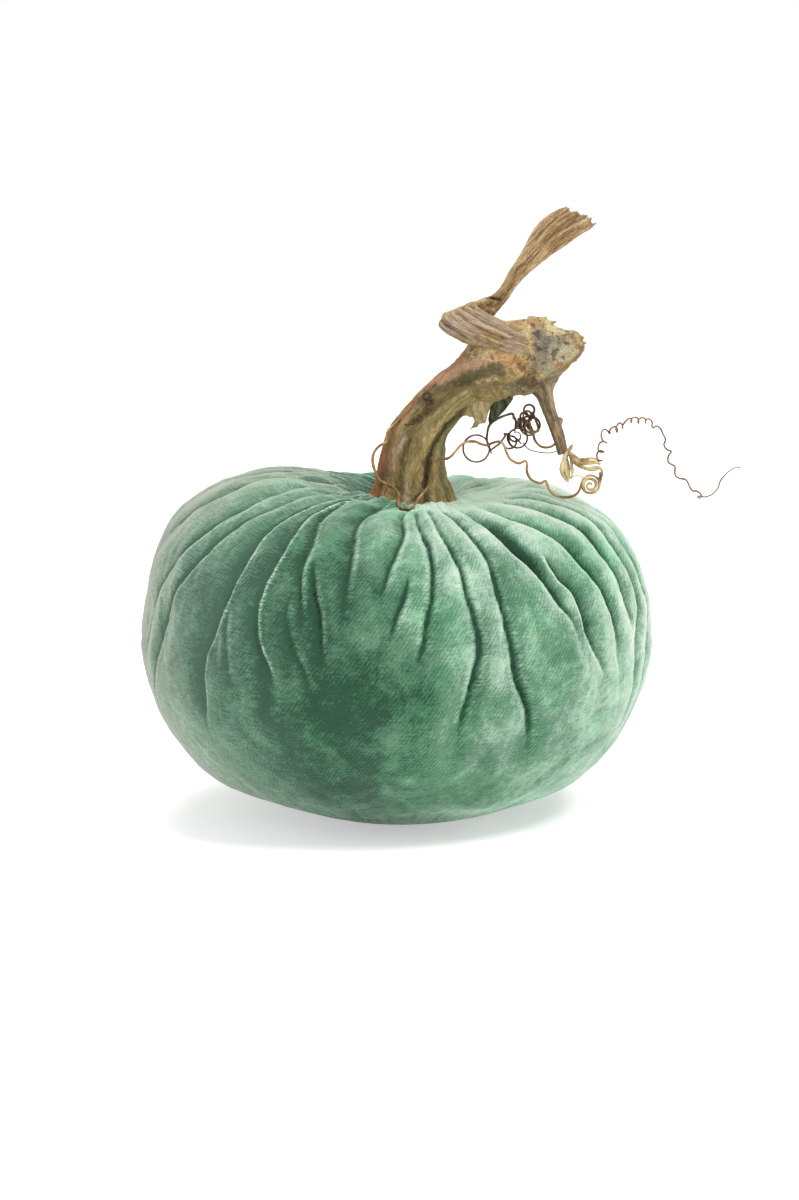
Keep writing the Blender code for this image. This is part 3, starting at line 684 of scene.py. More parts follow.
# The cloth run is made on every third column and second row.
COLUMN_STEP, ROW_STEP = 3, 2
FIRST_ROW = 12      # rows below this lie under the resting patch and stay
rows = np.r_[np.arange(FIRST_ROW, ROWS - 1, ROW_STEP), ROWS - 1]
coarse = unsettled[::COLUMN_STEP][:, rows]
hold = np.maximum.reduce([ease(0.35, 0.8, slit[::COLUMN_STEP][:, rows]),
                          1 - ease(5, 14, down[::COLUMN_STEP][:, rows]),
                          1 - ease(2.0, 9.0, coarse[..., 2])])
move = settle(coarse, hold) - coarse
# The outline is the cushion's own: most of the mean swelling of each part is taken off again.
coarse_normal = grid_normals(coarse)
swollen = (move * coarse_normal).sum(-1)
for _ in range(2):
    swollen = np.mean([np.roll(swollen, k, 0) for k in range(-22, 23, 2)], 0)
swollen = np.array([np.convolve(np.pad(column, 7, mode="edge"), np.ones(15) / 15, "valid")
                    for column in swollen])
move = move - 0.85 * swollen[..., None] * coarse_normal
window = np.hanning(11)[1:-1]
window /= window.sum()
padded = np.pad(move, ((0, 0), (4, 4), (0, 0)), mode="edge")
move = 1.5 * sum(w * padded[:, k:k + move.shape[1]] for k, w in enumerate(window))
# The movement is carried over to the fine grid.
wrapped = np.concatenate([move, move[:1]], 0)
column_at = np.arange(COLUMNS) / COLUMN_STEP
column = column_at.astype(int)
part = (column_at - column)[:, None, None]
all_columns = wrapped[column] * (1 - part) + wrapped[column + 1] * part
row = np.clip(np.searchsorted(rows, np.arange(ROWS), side="right") - 1, 0, len(rows) - 2)
part = ((np.arange(ROWS) - rows[row]) / (rows[row + 1] - rows[row]))[None, :, None]
carried = all_columns[:, row] * (1 - part) + all_columns[:, row + 1] * part
carried[:, :FIRST_ROW] = 0.0
skin = unsettled + carried
normal = grid_normals(skin)
skin = skin + (pile * rise)[..., None] * normal
shaped = shaped + (carried * normal).sum(-1)

# How far each point stands out of its surroundings, for a painted highlight on its crests and painted shade
# in its hollows.
blur = shaped.copy()
for _ in range(3):
    for k in (1, 2, 4):
        blur = (np.roll(blur, k, 0) + blur + np.roll(blur, -k, 0)) / 3
crest = shaped - blur


def skin_uv():
    """Per face corner: mm round the cushion and mm down the skin, in units of 100 mm."""
    round_mm = np.r_[azimuth[:, 0], azimuth[0, 0] + 360] * math.pi / 180 * 74.0
    u, v = np.meshgrid(np.arange(COLUMNS), np.arange(ROWS - 1), indexing="ij")
    w = (u + 1) % COLUMNS
    corner_u = np.stack([round_mm[u], round_mm[u + 1], round_mm[u + 1], round_mm[u]], -1)
    corner_v = np.stack([down[u, v], down[w, v], down[w, v + 1], down[u, v + 1]], -1)
    return np.stack([corner_u, corner_v], -1) / 100.0


verts = skin.reshape(-1, 3)
velvet = make_mesh("velvet_skin", verts, grid_faces(COLUMNS, ROWS), skin_uv())
with editing(velvet.data) as bm:
    central = [vert for vert in bm.verts if vert.co.xy.length < 1e-5]
    bmesh.ops.remove_doubles(bm, verts=central, dist=1e-6)
# The weld leaves one of the copies in the middle of the base.
copies = np.hypot(verts[:, 0], verts[:, 1]) < 1e-2
kept = ~copies
kept[np.flatnonzero(copies)[0]] = True
# Degrees from the front, running back to 0 behind.
round_about = np.where(np.abs(around) > 90, np.sign(around) * (180 - np.abs(around)), around)
for name, values in (("crest", crest), ("slit", slit), ("rim", rim * rise),
                     ("round_about", np.broadcast_to(round_about, down.shape)),
                     ("neck_mm", down)):
    set_attribute(velvet, name, "FLOAT", values.reshape(-1)[kept])


def velvet_material():
    v = Nodes("sea_green_velvet")
    uv = v.add("UVMap", uv_map="skin").outputs[0]
    place = v.object_place()
    facing = v.add("LayerWeight", {"Blend": 0.5}).outputs["Facing"]

    def turned(degrees, scale, **settings):
        return v.add("Mapping", {"Vector": uv, "Rotation": (0, 0, math.radians(degrees)),
                                 "Scale": scale}, **settings).outputs[0]

    # Patterns of the nap, from broad clouds to single hairs, then drawn out along the skin.
    nap_big = v.noise(place, scale=55.0, detail=4.0, rough=0.6, distort=0.6)
    nap_mid = v.noise(place, scale=190.0, detail=4.0, rough=0.65, distort=0.3)
    nap_fine = v.noise(place, scale=1500.0, detail=3.0, rough=0.7)
    wave = v.add("TexWave", {"Vector": turned(-35, (1, 1, 1)), "Scale": 31.0, "Distortion": 2.8,
                             "Detail": 2.0, "Detail Scale": 1.6, "Detail Roughness": 0.6},
                 wave_type="BANDS", bands_direction="X").outputs["Fac"]
    streak = v.noise(turned(34, (1 / 200, 1 / 36, 1), vector_type="TEXTURE"),
                     scale=1.0, detail=3.0, rough=0.6)
    hatch = v.noise(turned(-8, (30, 170, 1)), scale=1.0, detail=2.0, rough=0.6)
    crest_at, crease_shade, rim_at, side = (
        v.attribute(name) for name in ("crest", "slit", "rim", "round_about"))

    # The level of tone: a painted sheen, lighter where the pile is seen edge on, then each pattern by its
    # share.
    edge = v.calc("POWER", facing, 1.5)
    level = v.times_plus(edge, by=0.60, plus=0.16)
    for pattern, share in ((nap_big, 0.92), (nap_mid, 0.48), (nap_fine, 0.42),
                           (wave, 0.08), (streak, 0.46), (hatch, 0.34)):
        level = v.times_plus(v.calc("SUBTRACT", pattern, 0.5), by=share, plus=level)
    # Painted highlight on the crests and painted shade in the hollows between them.
    level = v.times_plus(v.remap(crest_at, span=(-1.2, 0.8), to=(-0.42, 0.5)), by=0.42, plus=level)
    height = v.add("SeparateXYZ", {"Vector": place}).outputs["Z"]

    # Regions: each part is a value, the span it is read over (degrees to the right, metres up or
    # mm from the neck) and what it gives at either end of the span.
    # These regions paint light and shade: lighter on the right, towards the top, by the neck and in patches
    # on the right; darker low down, on the left front and across the middle front.
    level = v.plus(level, v.region((side, (-12, 50), (-0.05, 0.20))))
    level = v.plus(level, v.region((height, (0.055, 0.098), (-0.03, 0.02))))
    low = v.region((height, (0.012, 0.052), (-0.34, 0)), (side, (-60, -5), (0.10, 1)))
    level = v.plus(level, low)
    low_right = v.region((height, (0.018, 0.050), (0.21, 0)), (side, (5, 28), (0, 1)),
                         (side, (44, 76), (1, 0.5)))
    level = v.plus(level, low_right)
    upper_front = v.region((height, (0.062, 0.086), (0, -0.15)),
                           (v.away(side, -26.0), (10, 24), (1, 0)))
    left_front = v.region((v.away(height, 0.052), (0.010, 0.040), (-0.11, 0)),
                          (v.away(side, -36.0), (6, 30), (1, 0)))
    level = v.plus(level, v.plus(upper_front, left_front))
    by_neck = v.region((v.attribute("neck_mm"), (14, 34), (0.30, 0)), (side, (-2, 12), (0, 1)))
    level = v.plus(level, by_neck)
    mid_right = v.region((height, (0.012, 0.030), (0, 1)), (height, (0.080, 0.095), (0.17, 0.09)),
                         (v.away(side, 10.0), (8, 21), (1, 0)))
    far_right = v.region((v.attribute("neck_mm"), (40, 62), (0.20, 0)), (side, (35, 70), (0, 1)))
    middle_band = v.region((v.away(height, 0.056), (0.006, 0.020), (-0.17, 0)),
                           (v.away(side, -4.0), (8, 20), (1, 0)))
    level = v.plus(level, v.plus(v.plus(mid_right, far_right), middle_band))

    # The left pleats show more hatching; the folds get painted shade and their rims a painted highlight.
    left_pleats = (-16, -36)
    more_hatch = v.remap(side, span=left_pleats, to=(0, 0.60))
    level = v.plus(level, v.times(v.calc("SUBTRACT", hatch, 0.5), more_hatch))
    level = v.plus(level, v.remap(side, span=left_pleats, to=(0, -0.03)))
    # Painted shade in the bottoms of the folds and in the pocket.
    level = v.times_plus(crease_shade, by=-0.55, plus=level)
    rim_highlight = v.times(rim_at, v.remap(hatch, span=(0.38, 0.62), to=(0.40, 1.20)))
    level = v.times_plus(rim_highlight, by=0.42, plus=level)
    more_rim = v.remap(side, span=left_pleats, to=(0, 0.26))
    level = v.plus(level, v.times(rim_highlight, more_rim))

    colour = v.ramp(level, [(0.0, "#284b38"), (0.2, "#446d53"), (0.42, "#63876f"),
                            (0.68, "#98b6a0"), (1.0, "#c6d3c4")])
    # Fresher green in clouds, then greyer towards the left, and a painted pale sheen where the left turns
    # away.
    left_sheen = v.region((side, (-30, -80)), (edge, (0.18, 0.75), (0, 0.80)))
    fresh = v.noise(place, scale=38.0, detail=3.0, rough=0.6, distort=0.8)
    colour = v.blend(v.remap(fresh, span=(0.42, 0.66)), colour, (0.78, 1.02, 0.88, 1), "MULTIPLY")
    colour = v.blend(v.remap(side, span=(-18, -45), to=(0, 0.22)), colour, rgba("#7d9489"))
    colour = v.blend(left_sheen, colour, rgba("#a9aa9c"))

    relief = v.plus(v.times(nap_fine, 0.8), v.times(wave, 0.3))
    relief = v.plus(relief, v.times(streak, 0.8))
    relief = v.plus(relief, v.times(hatch, 0.7))
    return v.surface({"Base Color": colour, "Roughness": 0.95, "Specular IOR Level": 0.12,
                      "Sheen Weight": 0.26, "Sheen Roughness": 0.45,
                      "Sheen Tint": (0.88, 0.95, 0.90, 1.0),
                      "Normal": v.bump(relief, strength=0.7, distance=0.0006)})


velvet.data.materials.append(velvet_material())

# The neck follows the stem, the rest stays.
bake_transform(velvet, "cushion", "stem", (0.005, 0, 0.088), (0.005, 0, 0.1))
welded = read_vectors(velvet.data)
at_neck = np.hypot(welded[:, 0] / MM - NECK_X, welded[:, 1] / MM)
set_blend(velvet, (1 - ease(11.0, 30.0, at_neck)) * (welded[:, 2] > 0.080))
register(velvet, "velvet", "velvet_cover")


# ================================================================ fibre filling
def fibre_material():
    m = Nodes("polyester_fibre")
    curl = m.noise(m.object_place(), scale=260.0, detail=6.0, rough=0.7, distort=2.5)
    return m.surface({"Base Color": m.ramp(curl, [(0.3, "#c9c8c3"), (0.6, "#efeeea")]),
                      "Roughness": 1.0, "Sheen Weight": 0.4,
                      "Normal": m.bump(curl, strength=0.8, distance=0.002)})


SKIN_GAP = 2.2
deepest = -shaped
for k in range(1, 11):
    beside = np.maximum(np.roll(-shaped, k, 0), np.roll(-shaped, -k, 0))
    deepest = np.maximum(deepest, beside)
for _ in range(6):
    deepest[:, 1:-1] = np.maximum(deepest[:, 1:-1], np.maximum(deepest[:, :-2], deepest[:, 2:]))
inner = base - (deepest + SKIN_GAP)[..., None] * grid_normals(base)
room = inner[::9, 12:ROWS - 24:5]
room = room + 0.6 * fbm(room / 6.0, 3, 77)[..., None] * unit(room - np.array([0, 0, 45.0]))
# Near the neck the filling stays under the glue pad.
pad_low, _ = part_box("glue_pad")
from_neck = np.hypot(room[..., 0] - NECK_X, room[..., 1])
roof = pad_low[2] / MM - 3.5 + 0.35 * np.clip(from_neck - 17.0, 0, None)
roof = np.where(from_neck < 40, np.maximum(roof, 20.0), 1e9)
room[..., 2] = np.minimum(room[..., 2], roof)
fill = Shells()
fill.close(room, (0, 0, room[:, 0, 2].mean()), (NECK_X, 0, 82.0))
filling = make_mesh("fibre_filling", fill.array(), fill.faces)
filling.data.materials.append(fibre_material())
register(filling, "filling", "polyester_filling", body="cushion")


# ================================================================ muslin bag
def muslin_material():
    m = Nodes("muslin_weave")
    weave = m.add("TexWave", {"Vector": m.object_place(), "Scale": 260.0, "Distortion": 1.0,
                              "Detail": 1.0}, bands_direction="Z").outputs["Fac"]
    return m.surface({"Base Color": m.ramp(weave, [(0.2, "#b5a888"), (0.8, "#d6cbb0")]),
                      "Roughness": 0.95,
                      "Normal": m.bump(weave, strength=0.4, distance=0.0003)})


# Radius and height from the middle of the bottom to the open mouth.
BAG = table("""0 1.6, 15 1.6, 26 4.6, 33 9.3, 36 15, 33.4 21, 24.2 25.6, 12 28.8, 6.2 30.2,
    4.5 32, 4.5 34, 5.2 36.5, 7.4 39.2""")
BAG_COLUMNS, BAG_ROWS = 160, 70
bag_outline, _ = resample(smooth(BAG, 6), count=BAG_ROWS)
bag_r, bag_z = bag_outline.T
turn = circle(BAG_COLUMNS)
pucker = (0.16 * ease(20, 34, bag_z)[None, :]
          * np.cos(17 * turn + 1.3 * np.sin(3 * turn))[:, None])
dents = 0.5 * noise(np.stack(np.broadcast_arrays(
    3 * np.cos(turn)[:, None], 3 * np.sin(turn)[:, None], bag_z[None, :] / 9), -1), 41)
pouch_r = bag_r[None, :] * (1 + pucker * 0.5) + dents * ease(3, 12, bag_r)[None, :]
pouch = np.stack([pouch_r * np.cos(turn)[:, None], pouch_r * np.sin(turn)[:, None],
                  np.broadcast_to(bag_z[None, :], pouch_r.shape)], -1)
muslin = make_mesh("muslin_bag", pouch.reshape(-1, 3), grid_faces(BAG_COLUMNS, BAG_ROWS))
with editing(muslin.data) as bm:
    bmesh.ops.remove_doubles(bm, verts=bm.verts, dist=1e-6)
muslin.data.materials.append(muslin_material())
register(muslin, "muslin", "weight_bag", body="cushion")

# ================================================================ stem, node, stalk and vine: paths
Y = np.array([0.0, 1.0, 0.0])
# X, Y, Z and radius along each piece.
STEM = table("""5 0 94.6 12.8, 5 0 96.4 11.8, 4.7 0 100.5 10.6, 4.8 0 106.2 9.7, 5.9 0 112.4 9,
    8.3 0 117.2 7.9, 12 0 122 7.3, 14.8 0 125 7.1, 18.3 0 128 7.3, 21.8 0 130.4 8,
    24.8 -.5 132.2 8.9, 30 -.8 135.6 10""")
NODE = table("""24.4 -.6 132.4 8.6, 28.6 -1 135.2 10.4, 33.7 -1.5 137.6 11, 39 -1.5 138.7 10.8,
    44 -1.5 139.4 9, 48 -1.5 139.7 7, 51 -1.5 140.5 4.8, 53.6 -1.5 141 3.4, 55.6 -1.5 141.2 1.6""")
STALK = table("""41 -1.8 135 5, 42.8 -1.9 129.8 3.7, 44.1 -2.2 126.4 2.5, 45.2 -3 122.4 2.05,
    46.4 -3.6 119.2 1.95, 47.5 -4.2 116.2 1.85, 48.6 -5 112.8 1.6, 49.6 -6 109.2 1.5""")
# The flat vine stub: X and Z of its two edges, and Y.
EDGE_LEFT = table("""20.8 151.2, 24.3 153.4, 28 155.4, 30.8 157.9, 33.4 162.6, 37.4 168.4,
    41 174.8, 45.1 179, 51 182""")
EDGE_RIGHT = table("""28.6 149, 30.7 151.6, 33.3 154.7, 35.6 158.4, 39.2 162.4, 44.6 166.8,
    50 170.7, 54.6 173.9, 60 176.5""")
EDGE_Y = [4.4, 4.0, 3.5, 3.0, 3.0, 3.0, 3.5, 4.4, 5.8]
BLADE = [((a[0] + b[0]) / 2, y, (a[1] + b[1]) / 2, math.hypot(b[0] - a[0], b[1] - a[1]) / 2)
         for a, b, y in zip(EDGE_LEFT, EDGE_RIGHT, EDGE_Y)]
# The fold in front of it, bundle by bundle: from the node left, round the bend, back to the foot.
BUNDLES = tables("""
    32.5 -10.4 141.1, 29.6 -9.8 142.1, 25.6 -8.6 142.7, 21.2 -7 142.9, 18.2 -6 144.3,
    15.2 -4.6 145.8, 13.4 -2.6 147.3, 14 -.4 148.2, 17.5 2 148.6, 23 3.6 148.8, 28 4.2 149.8;
    31.5 -10.4 142.2, 26.1 -8.9 143.8, 22.6 -7.4 144.6, 19.7 -6.4 146.1, 16.7 -4.8 148,
    14.5 -2.6 149.4, 15.2 -.2 150, 19 2.2 150, 25 3.8 150.2, 29.2 4.2 151.2;
    34 -10.4 142.2, 31.1 -9.9 143, 27.6 -8.8 144.5, 25.1 -7.8 145.4, 22.2 -6.8 146.9,
    19.2 -5.6 148.5, 16.4 -3.2 150.3, 17.2 -.6 151, 21 2.2 150.9, 26.2 3.8 151.8;
    36.5 -9.8 143.3, 33.1 -9.3 144.3, 30.1 -8.4 145.5, 27.1 -7.4 146.7, 24.1 -6.4 148.1,
    21.2 -5.4 149.7, 18.6 -3.4 151.3, 19.5 -.6 152, 23 2.2 152, 26.6 3.8 153.2;
    39.5 -8.6 144.9, 36 -8.3 145.5, 32.6 -7.6 146.4, 29.6 -6.7 147.7, 26.6 -5.7 149.2,
    23.6 -4.8 150.7, 20.9 -3.2 152.1, 21.8 -.8 152.8, 24.5 2 153.4, 27.6 3.8 154.6;
    38 -7 147, 36 -6.8 147.2, 33.1 -6.2 147.7, 30.1 -5.2 148.6, 27.1 -4 149.9,
    24.4 -2.4 151.3, 23 -.6 152.2, 22.2 1.8 152.4, 23.4 3.4 152.9""")
FOLD_R = [3.6, 4.0, 4.4, 4.6, 4.8, 5.0, 4.8, 4.4, 4.0, 3.6]


class Organ:
    """One piece of the plant: its middle line, radius and directions every 0.5 mm."""

    def __init__(self, stations, ref=Y):
        both, self.run = resample(smooth(stations, 12), 0.5)
        self.path, self.r = both[:, :3], both[:, 3]
        self.tangent, self.right, self.back = frames(self.path, ref)

    def locate(self, points):
        """Index along the path, angle round it in radians, distance as a share of the radius."""
        index = nearest_index(points, self.path, 20000)
        off = points - self.path[index]
        x, y = (off * self.right[index]).sum(1), (off * self.back[index]).sum(1)
        return index, np.arctan2(y, x), np.linalg.norm(off, axis=1) / self.r[index]


def nearest_index(points, path, chunk):
    """Index of the path point nearest to each point, worked out in chunks to save memory."""
    index = np.zeros(len(points), int)
    for a in range(0, len(points), chunk):
        gaps = points[a:a + chunk][:, None, :] - path[None]
        index[a:a + chunk] = (gaps ** 2).sum(-1).argmin(1)
    return index


stem, node, stalk, blade = (Organ(stations) for stations in (STEM, NODE, STALK, BLADE))
# The blade lies flat between its two edges.
blade_arc = arc_length(smooth(BLADE, 12)[:, :3])
half_width = (smooth(EDGE_RIGHT, 12) - smooth(EDGE_LEFT, 12)) / 2
half = np.stack([np.interp(blade.run, blade_arc, half_width[:, 0]), 0 * blade.run,
                 np.interp(blade.run, blade_arc, half_width[:, 1])], 1)
blade.r = np.linalg.norm(half, axis=1)
blade.right = half / blade.r[:, None]
blade.back = unit(np.cross(blade.tangent, blade.right))
fold = Organ(np.c_[np.mean(BUNDLES[2:4], axis=0), FOLD_R], ref=None)
organs = {"stem": stem, "node": node, "stalk": stalk, "fold": fold, "blade": blade}

# ================================================================ stem, node, stalk and vine: shells
SIDES = 144
# Grooves down the stem: degrees at the foot, twist in degrees per mm, width in degrees, depth,
# where it ends.
GROOVES = table("""-73 1.25 9 2.9 46, -118 .5 12 1.3 70, -152 -.1 12 1.5 70, -34 1 11 1.5 60,
    6 .6 12 1.5 50, 44 .3 13 1.6 60, 86 .2 14 1.5 60, 128 .1 13 1.6 60, 166 0 12 1.3 60,
    -96 1 7 .8 26""")
phi = circle(SIDES)
degrees = np.degrees(phi)[None, :]
shells = Shells()


def round_noise(angle, run, reach, length, seed, scale=1):
    """Noise over a tube's surface; reach is how quickly it changes round it."""
    ring = np.broadcast_arrays(reach * np.cos(angle)[None, :], reach * np.sin(angle)[None, :],
                               run / length)
    return noise(np.stack(ring, -1) * scale, seed)


def add_stem():
    run = stem.run[:, None]
    grooved = np.zeros((len(stem.run), SIDES))
    for at_foot, twist, wide, deep, end in GROOVES:
        gap = wrap(degrees - (at_foot + twist * run))
        grooved += (deep * np.exp(-(np.abs(gap) / wide) ** 1.5) * (1 - ease(end - 16, end, run))
                    * (0.75 + 0.45 * np.exp(-run / 7.0)))
    toes = 2.2 * np.exp(-run / 3.2) * (1 + 0.8 * np.cos(np.radians(degrees - 185)))
    wobble = 0.5 * round_noise(phi, run, 2.2, 11.0, 3)
    shells.tube(stem.path, stem.r[:, None] * 1.04 + toes + wobble - grooved, SIDES, Y)


def add_joins():
    """The web between leaf stalk and node, then the node's shoulder down to its broken end."""
    web, shoulder = tables("""
        45 -1.6 139 6.4, 45.4 -1.7 135.5 4.8, 44.9 -1.8 131.6 3.4, 44 -1.9 127.5 2.2;
        36 -1.4 144.6 3.6, 41 -1.5 144.9 3.4, 46 -1.6 144 3.2, 50.4 -1.5 142.6 2.6,
        53.6 -1.4 141.6 1.8""")
    for stations, sides, tall in ((web, 40, 0.8), (shoulder, 30, 1.2)):
        line = smooth(stations, 8)
        shells.tube(line[:, :3], line[:, 3], sides, Y, tall=tall)


def add_splinters():
    """Splinters round the broken end of the vine: X, Y, Z of root, then of point."""
    radii = [1.3, 1.2, 1.0, 0.75, 0.5, 0.3]
    for ends in table("""
            49.5 -.5 144.6 54.6 -.8 145, 50.5 -2.5 142.6 56.9 -2.4 141.9,
            50 -3.4 139.6 55.8 -3 139.4, 48.5 -3.4 136.6 53.8 -2.6 136.9,
            50 1.5 142 55.4 1 143, 47 -3 134.4 50.9 -2.4 134.6, 43 -2 147.6 47.6 -1.6 148.3,
            39 -1.8 148.6 44.9 -1.6 149.5, 52.6 -1.4 143.8 56.4 -1.4 143.3"""):
        shells.tube(np.linspace(ends[:3], ends[3:], len(radii)), radii, 10)


def add_node():
    run = node.run[:, None]
    rough = [round_noise(phi, run, 1.4, 9.0, seed, scale) for seed, scale in ((8, 1.3), (9, 3.1))]
    radii = node.r[:, None] * (1 + 0.10 * rough[0] + 0.05 * rough[1])
    radii += (1.0 * np.exp(-wrap(degrees - 20) ** 2 / 400.0)
              * ease(2, 8, run) * (1 - ease(16, 24, run)))
    radii -= 1.1 * np.exp(-wrap(degrees + 118 - 0.9 * run) ** 2 / 160.0) * (1 - ease(8, 16, run))
    shells.tube(node.path, radii, SIDES, Y)


def add_stalk():
    """The leaf stalk with a small knob on its right."""
    some = phi[::3]
    rough = round_noise(some, stalk.run[:, None], 2.0, 6.0, 12)
    radii = stalk.r[:, None] * (1.0 + 0.09 * np.cos(6 * some)[None, :] + 0.10 * rough)
    shells.tube(stalk.path, radii, SIDES // 3, Y)
    knob = stalk.path[int(0.62 * len(stalk.path))] + np.array([1.9, -0.6, 0])
    offsets = np.array([(-1.2, 0, -1.4), (0.2, 0, -0.6), (0.7, 0, 0.3), (0.2, 0, 1.1)])
    shells.tube(knob + offsets, [0.5, 0.9, 0.8, 0.3], 10)


def add_bundles():
    """Bundles of the fold, with thinner ones behind that close the gaps."""
    for k, line in enumerate(BUNDLES):
        path, run = resample(smooth(line, 8), 0.4)
        radii = (1.02 + 0.10 * math.sin(2.0 * k)) * (
            1 + 0.10 * noise(np.c_[run / 3.0, 0 * run, 0 * run + k], 61))
        radii *= 0.55 + 0.45 * ease(0, 6, run)
        shells.tube(path, radii, 14)
        if k:
            shared = min(len(line), len(BUNDLES[k - 1]))
            between = (np.array(line[:shared]) + np.array(BUNDLES[k - 1][:shared])) / 2
            between[:, 1] += np.where(between[:, 1] < 0, 1.15, -0.5)
            path, run = resample(smooth(between, 8), 0.4)
            shells.tube(path, 0.85 * (0.55 + 0.45 * ease(0, 6, run)), 12)


def add_blade():
    """A flat core under fibres, each ending where it broke off."""
    count = len(blade.path)
    core = slice(0, int(count * 0.975))
    shells.tube(blade.path[core], blade.r[core], 36, wide=0.95, tall=0.13,
                axes=(blade.right[core], blade.back[core]))
    rng = np.random.default_rng(5)
    share = np.linspace(0, 1, count)
    fibres = 15
    for k in range(fibres):
        u = -0.95 + 1.9 * k / (fibres - 1)
        sway = np.interp(share, np.linspace(0, 1, 6), rng.uniform(-0.05, 0.05, 6))
        lift = np.interp(share, np.linspace(0, 1, 7), rng.uniform(-0.20, 0.20, 7))
        path = (blade.path + ((u + sway) * blade.r)[:, None] * blade.right
                + lift[:, None] * blade.back)
        radii = np.clip(blade.r * 0.105, 0.30, 0.50) * rng.uniform(0.85, 1.2)
        cut = int(count * min(1.0, 0.985 + 0.015 * rng.uniform(-0.6, 1.0)))
        beyond = blade.path[cut - 1] - blade.path[cut - 4]
        more = int(3 * (1 - u * u) * rng.uniform(0.3, 1.2)) + (k % 3 == 1)
        path = np.vstack([path[:cut]] + [path[cut - 1:cut] + (j + 1) * beyond / 3
                                         for j in range(more)])
        radii = np.r_[radii[:cut], np.full(more, radii[cut - 1])]
        radii[-4:] *= np.linspace(1, 0.6, 4)
        shells.tube(path, radii, 10)


def grow_together():
    """One connected body made of all the shells."""
    raw = make_mesh("stem_raw", shells.array(), shells.faces)
    with editing(raw.data) as bm:
        bmesh.ops.recalc_face_normals(bm, faces=bm.faces)
    remesh = raw.modifiers.new("grow_together", "REMESH")
    remesh.mode = "VOXEL"
    remesh.voxel_size = 0.00034
    remesh.adaptivity = 0.0
    remesh.use_smooth_shade = True
    soften = raw.modifiers.new("soften", "SMOOTH")
    soften.factor = 0.5
    soften.iterations = 1
    mesh = bpy.data.meshes.new_from_object(evaluated(raw))
    bpy.data.objects.remove(raw)
    mesh.name = "dried_stem_and_vine"
    obj = link("dried_stem_and_vine", mesh)
    mesh.shade_smooth()
    with editing(mesh) as bm:
        seen, largest = set(), []
        for start in bm.verts:
            if start in seen:
                continue
            group, queue = [], [start]
            seen.add(start)
            while queue:
                here = queue.pop()
                group.append(here)
                for edge in here.link_edges:
                    other = edge.other_vert(here)
                    if other not in seen:
                        seen.add(other)
                        queue.append(other)
            if len(group) > len(largest):
                largest = group
        body = set(largest)
        loose = [vert for vert in bm.verts if vert not in body]
        bmesh.ops.delete(bm, geom=loose, context="VERTS")
    return obj


add_stem()
add_joins()
add_splinters()
add_node()
add_stalk()
add_bundles()
add_blade()
wood = grow_together()

# ================================================================ stem, node, stalk and vine: surface
TAN = srgb("#9c8455")
OLIVE = srgb("#8d8657")
DARK = srgb("#4b3920")
BROWN = srgb("#6b4f2c")
RED = srgb("#a2693f")
ROSE = srgb("#b48a6c")
MAUVE = srgb("#9b8c85")
STRAW = srgb("#c4ad7c")
PALE = srgb("#d9cba4")
SLATE = srgb("#5b5d5c")
BLACK = srgb("#33302a")
# Marks on the front of the plant: a line of points in X and Z, half width, colour, strength.
STROKES = [
    ("7.5 124.6, 12 128.2, 16.4 131, 23.6 133.8, 30 135.2", 2.3, "#554f31", 0.80),
    ("9.5 129.4, 15.2 134.2, 20.3 138.4", 1.1, "#b8785a", 0.75),
    ("13 130.6, 19 135, 26.3 137.6, 29.5 139", 1.3, "#c29a7c", 0.60),
    ("33 138, 37 136.2", 2.6, "#bb8c58", 0.65),
    ("29 138.8, 33 139.4", 1.6, "#c8a26e", 0.60),
    # A painted highlight along a tan ridge.
    ("5 105.5, 8.6 112, 13.2 117.4, 19 122, 24 124.6, 32 126.8", 1.5, "#b59b66", 0.65),
    ("6.4 97, 7.8 100.4, 8.7 106, 10.2 110.8, 13.2 115.8, 16.6 119.2, 21.3 122.4",
     1.15, "#40290f", 0.80),
    ("14 97.5, 12.8 104, 13.2 110, 15.6 115.5, 19 119.6", 1.6, "#76764a", 0.55),
    ("10.6 97, 10.8 103, 12 109", 0.9, "#a2915c", 0.55),
    ("-1.6 105, -.2 110.5, 1.8 113.5", 0.75, "#b8a596", 0.50),
    ("0.6 110.2, 2.6 114.2", 0.6, "#b5a294", 0.45),
    ("2.6 96.6, 2.9 101, 3.2 104", 0.85, "#b09c86", 0.50),
    ("-4.6 99.6, -3.4 103.8", 1.1, "#5d5535", 0.60),
    ("0.6 98.4, 1.4 104, 2.2 107", 1.2, "#665b36", 0.70),
    ("3.4 116.4, 6.4 121", 1.7, "#5e5a38", 0.65),
    ("-7.8 97.6, -5.2 103, -3.6 109", 1.3, "#a66a48", 0.65),
    ("-1.6 113.4, 2.4 121, 6.4 126", 0.7, "#a8704e", 0.55),
    ("9 119, 14 123, 20 126.4", 1.4, "#8b8050", 0.55),
    ("24 129, 30 130, 35 131", 2.0, "#86744a", 0.50),
    ("37 131.4, 40.6 130.6", 1.3, "#4a2f18", 0.70),
    ("42.4 145, 43 140.6, 42.4 137", 3.4, "#6a625a", 0.66),
    ("44.4 143, 48.4 142.6", 2.1, "#575c5c", 0.62),
    ("47 139.8, 51.6 139.4", 2.8, "#b3ad92", 0.60),
    ("43.4 136, 47 133", 2.0, "#9c9777", 0.55),
    ("35 148.2, 38.6 149.4, 42 148.4", 1.2, "#b58a5c", 0.65),
    ("45 147.6, 49.6 145.8", 1.3, "#ddcda0", 0.70),
    ("54.4 144.6, 56.4 141.6, 53.4 137.6, 50.6 135.2", 0.8, "#8a6238", 0.70),
    ("43 131, 44.6 124, 46.8 117", 0.55, "#5a4632", 0.60),
    ("45.4 128.6, 46.6 121.6, 48.6 114.6", 0.55, "#b3a283", 0.55)]
CRACK = table("27 155.2, 28.7 154.7, 30.8 154.3")


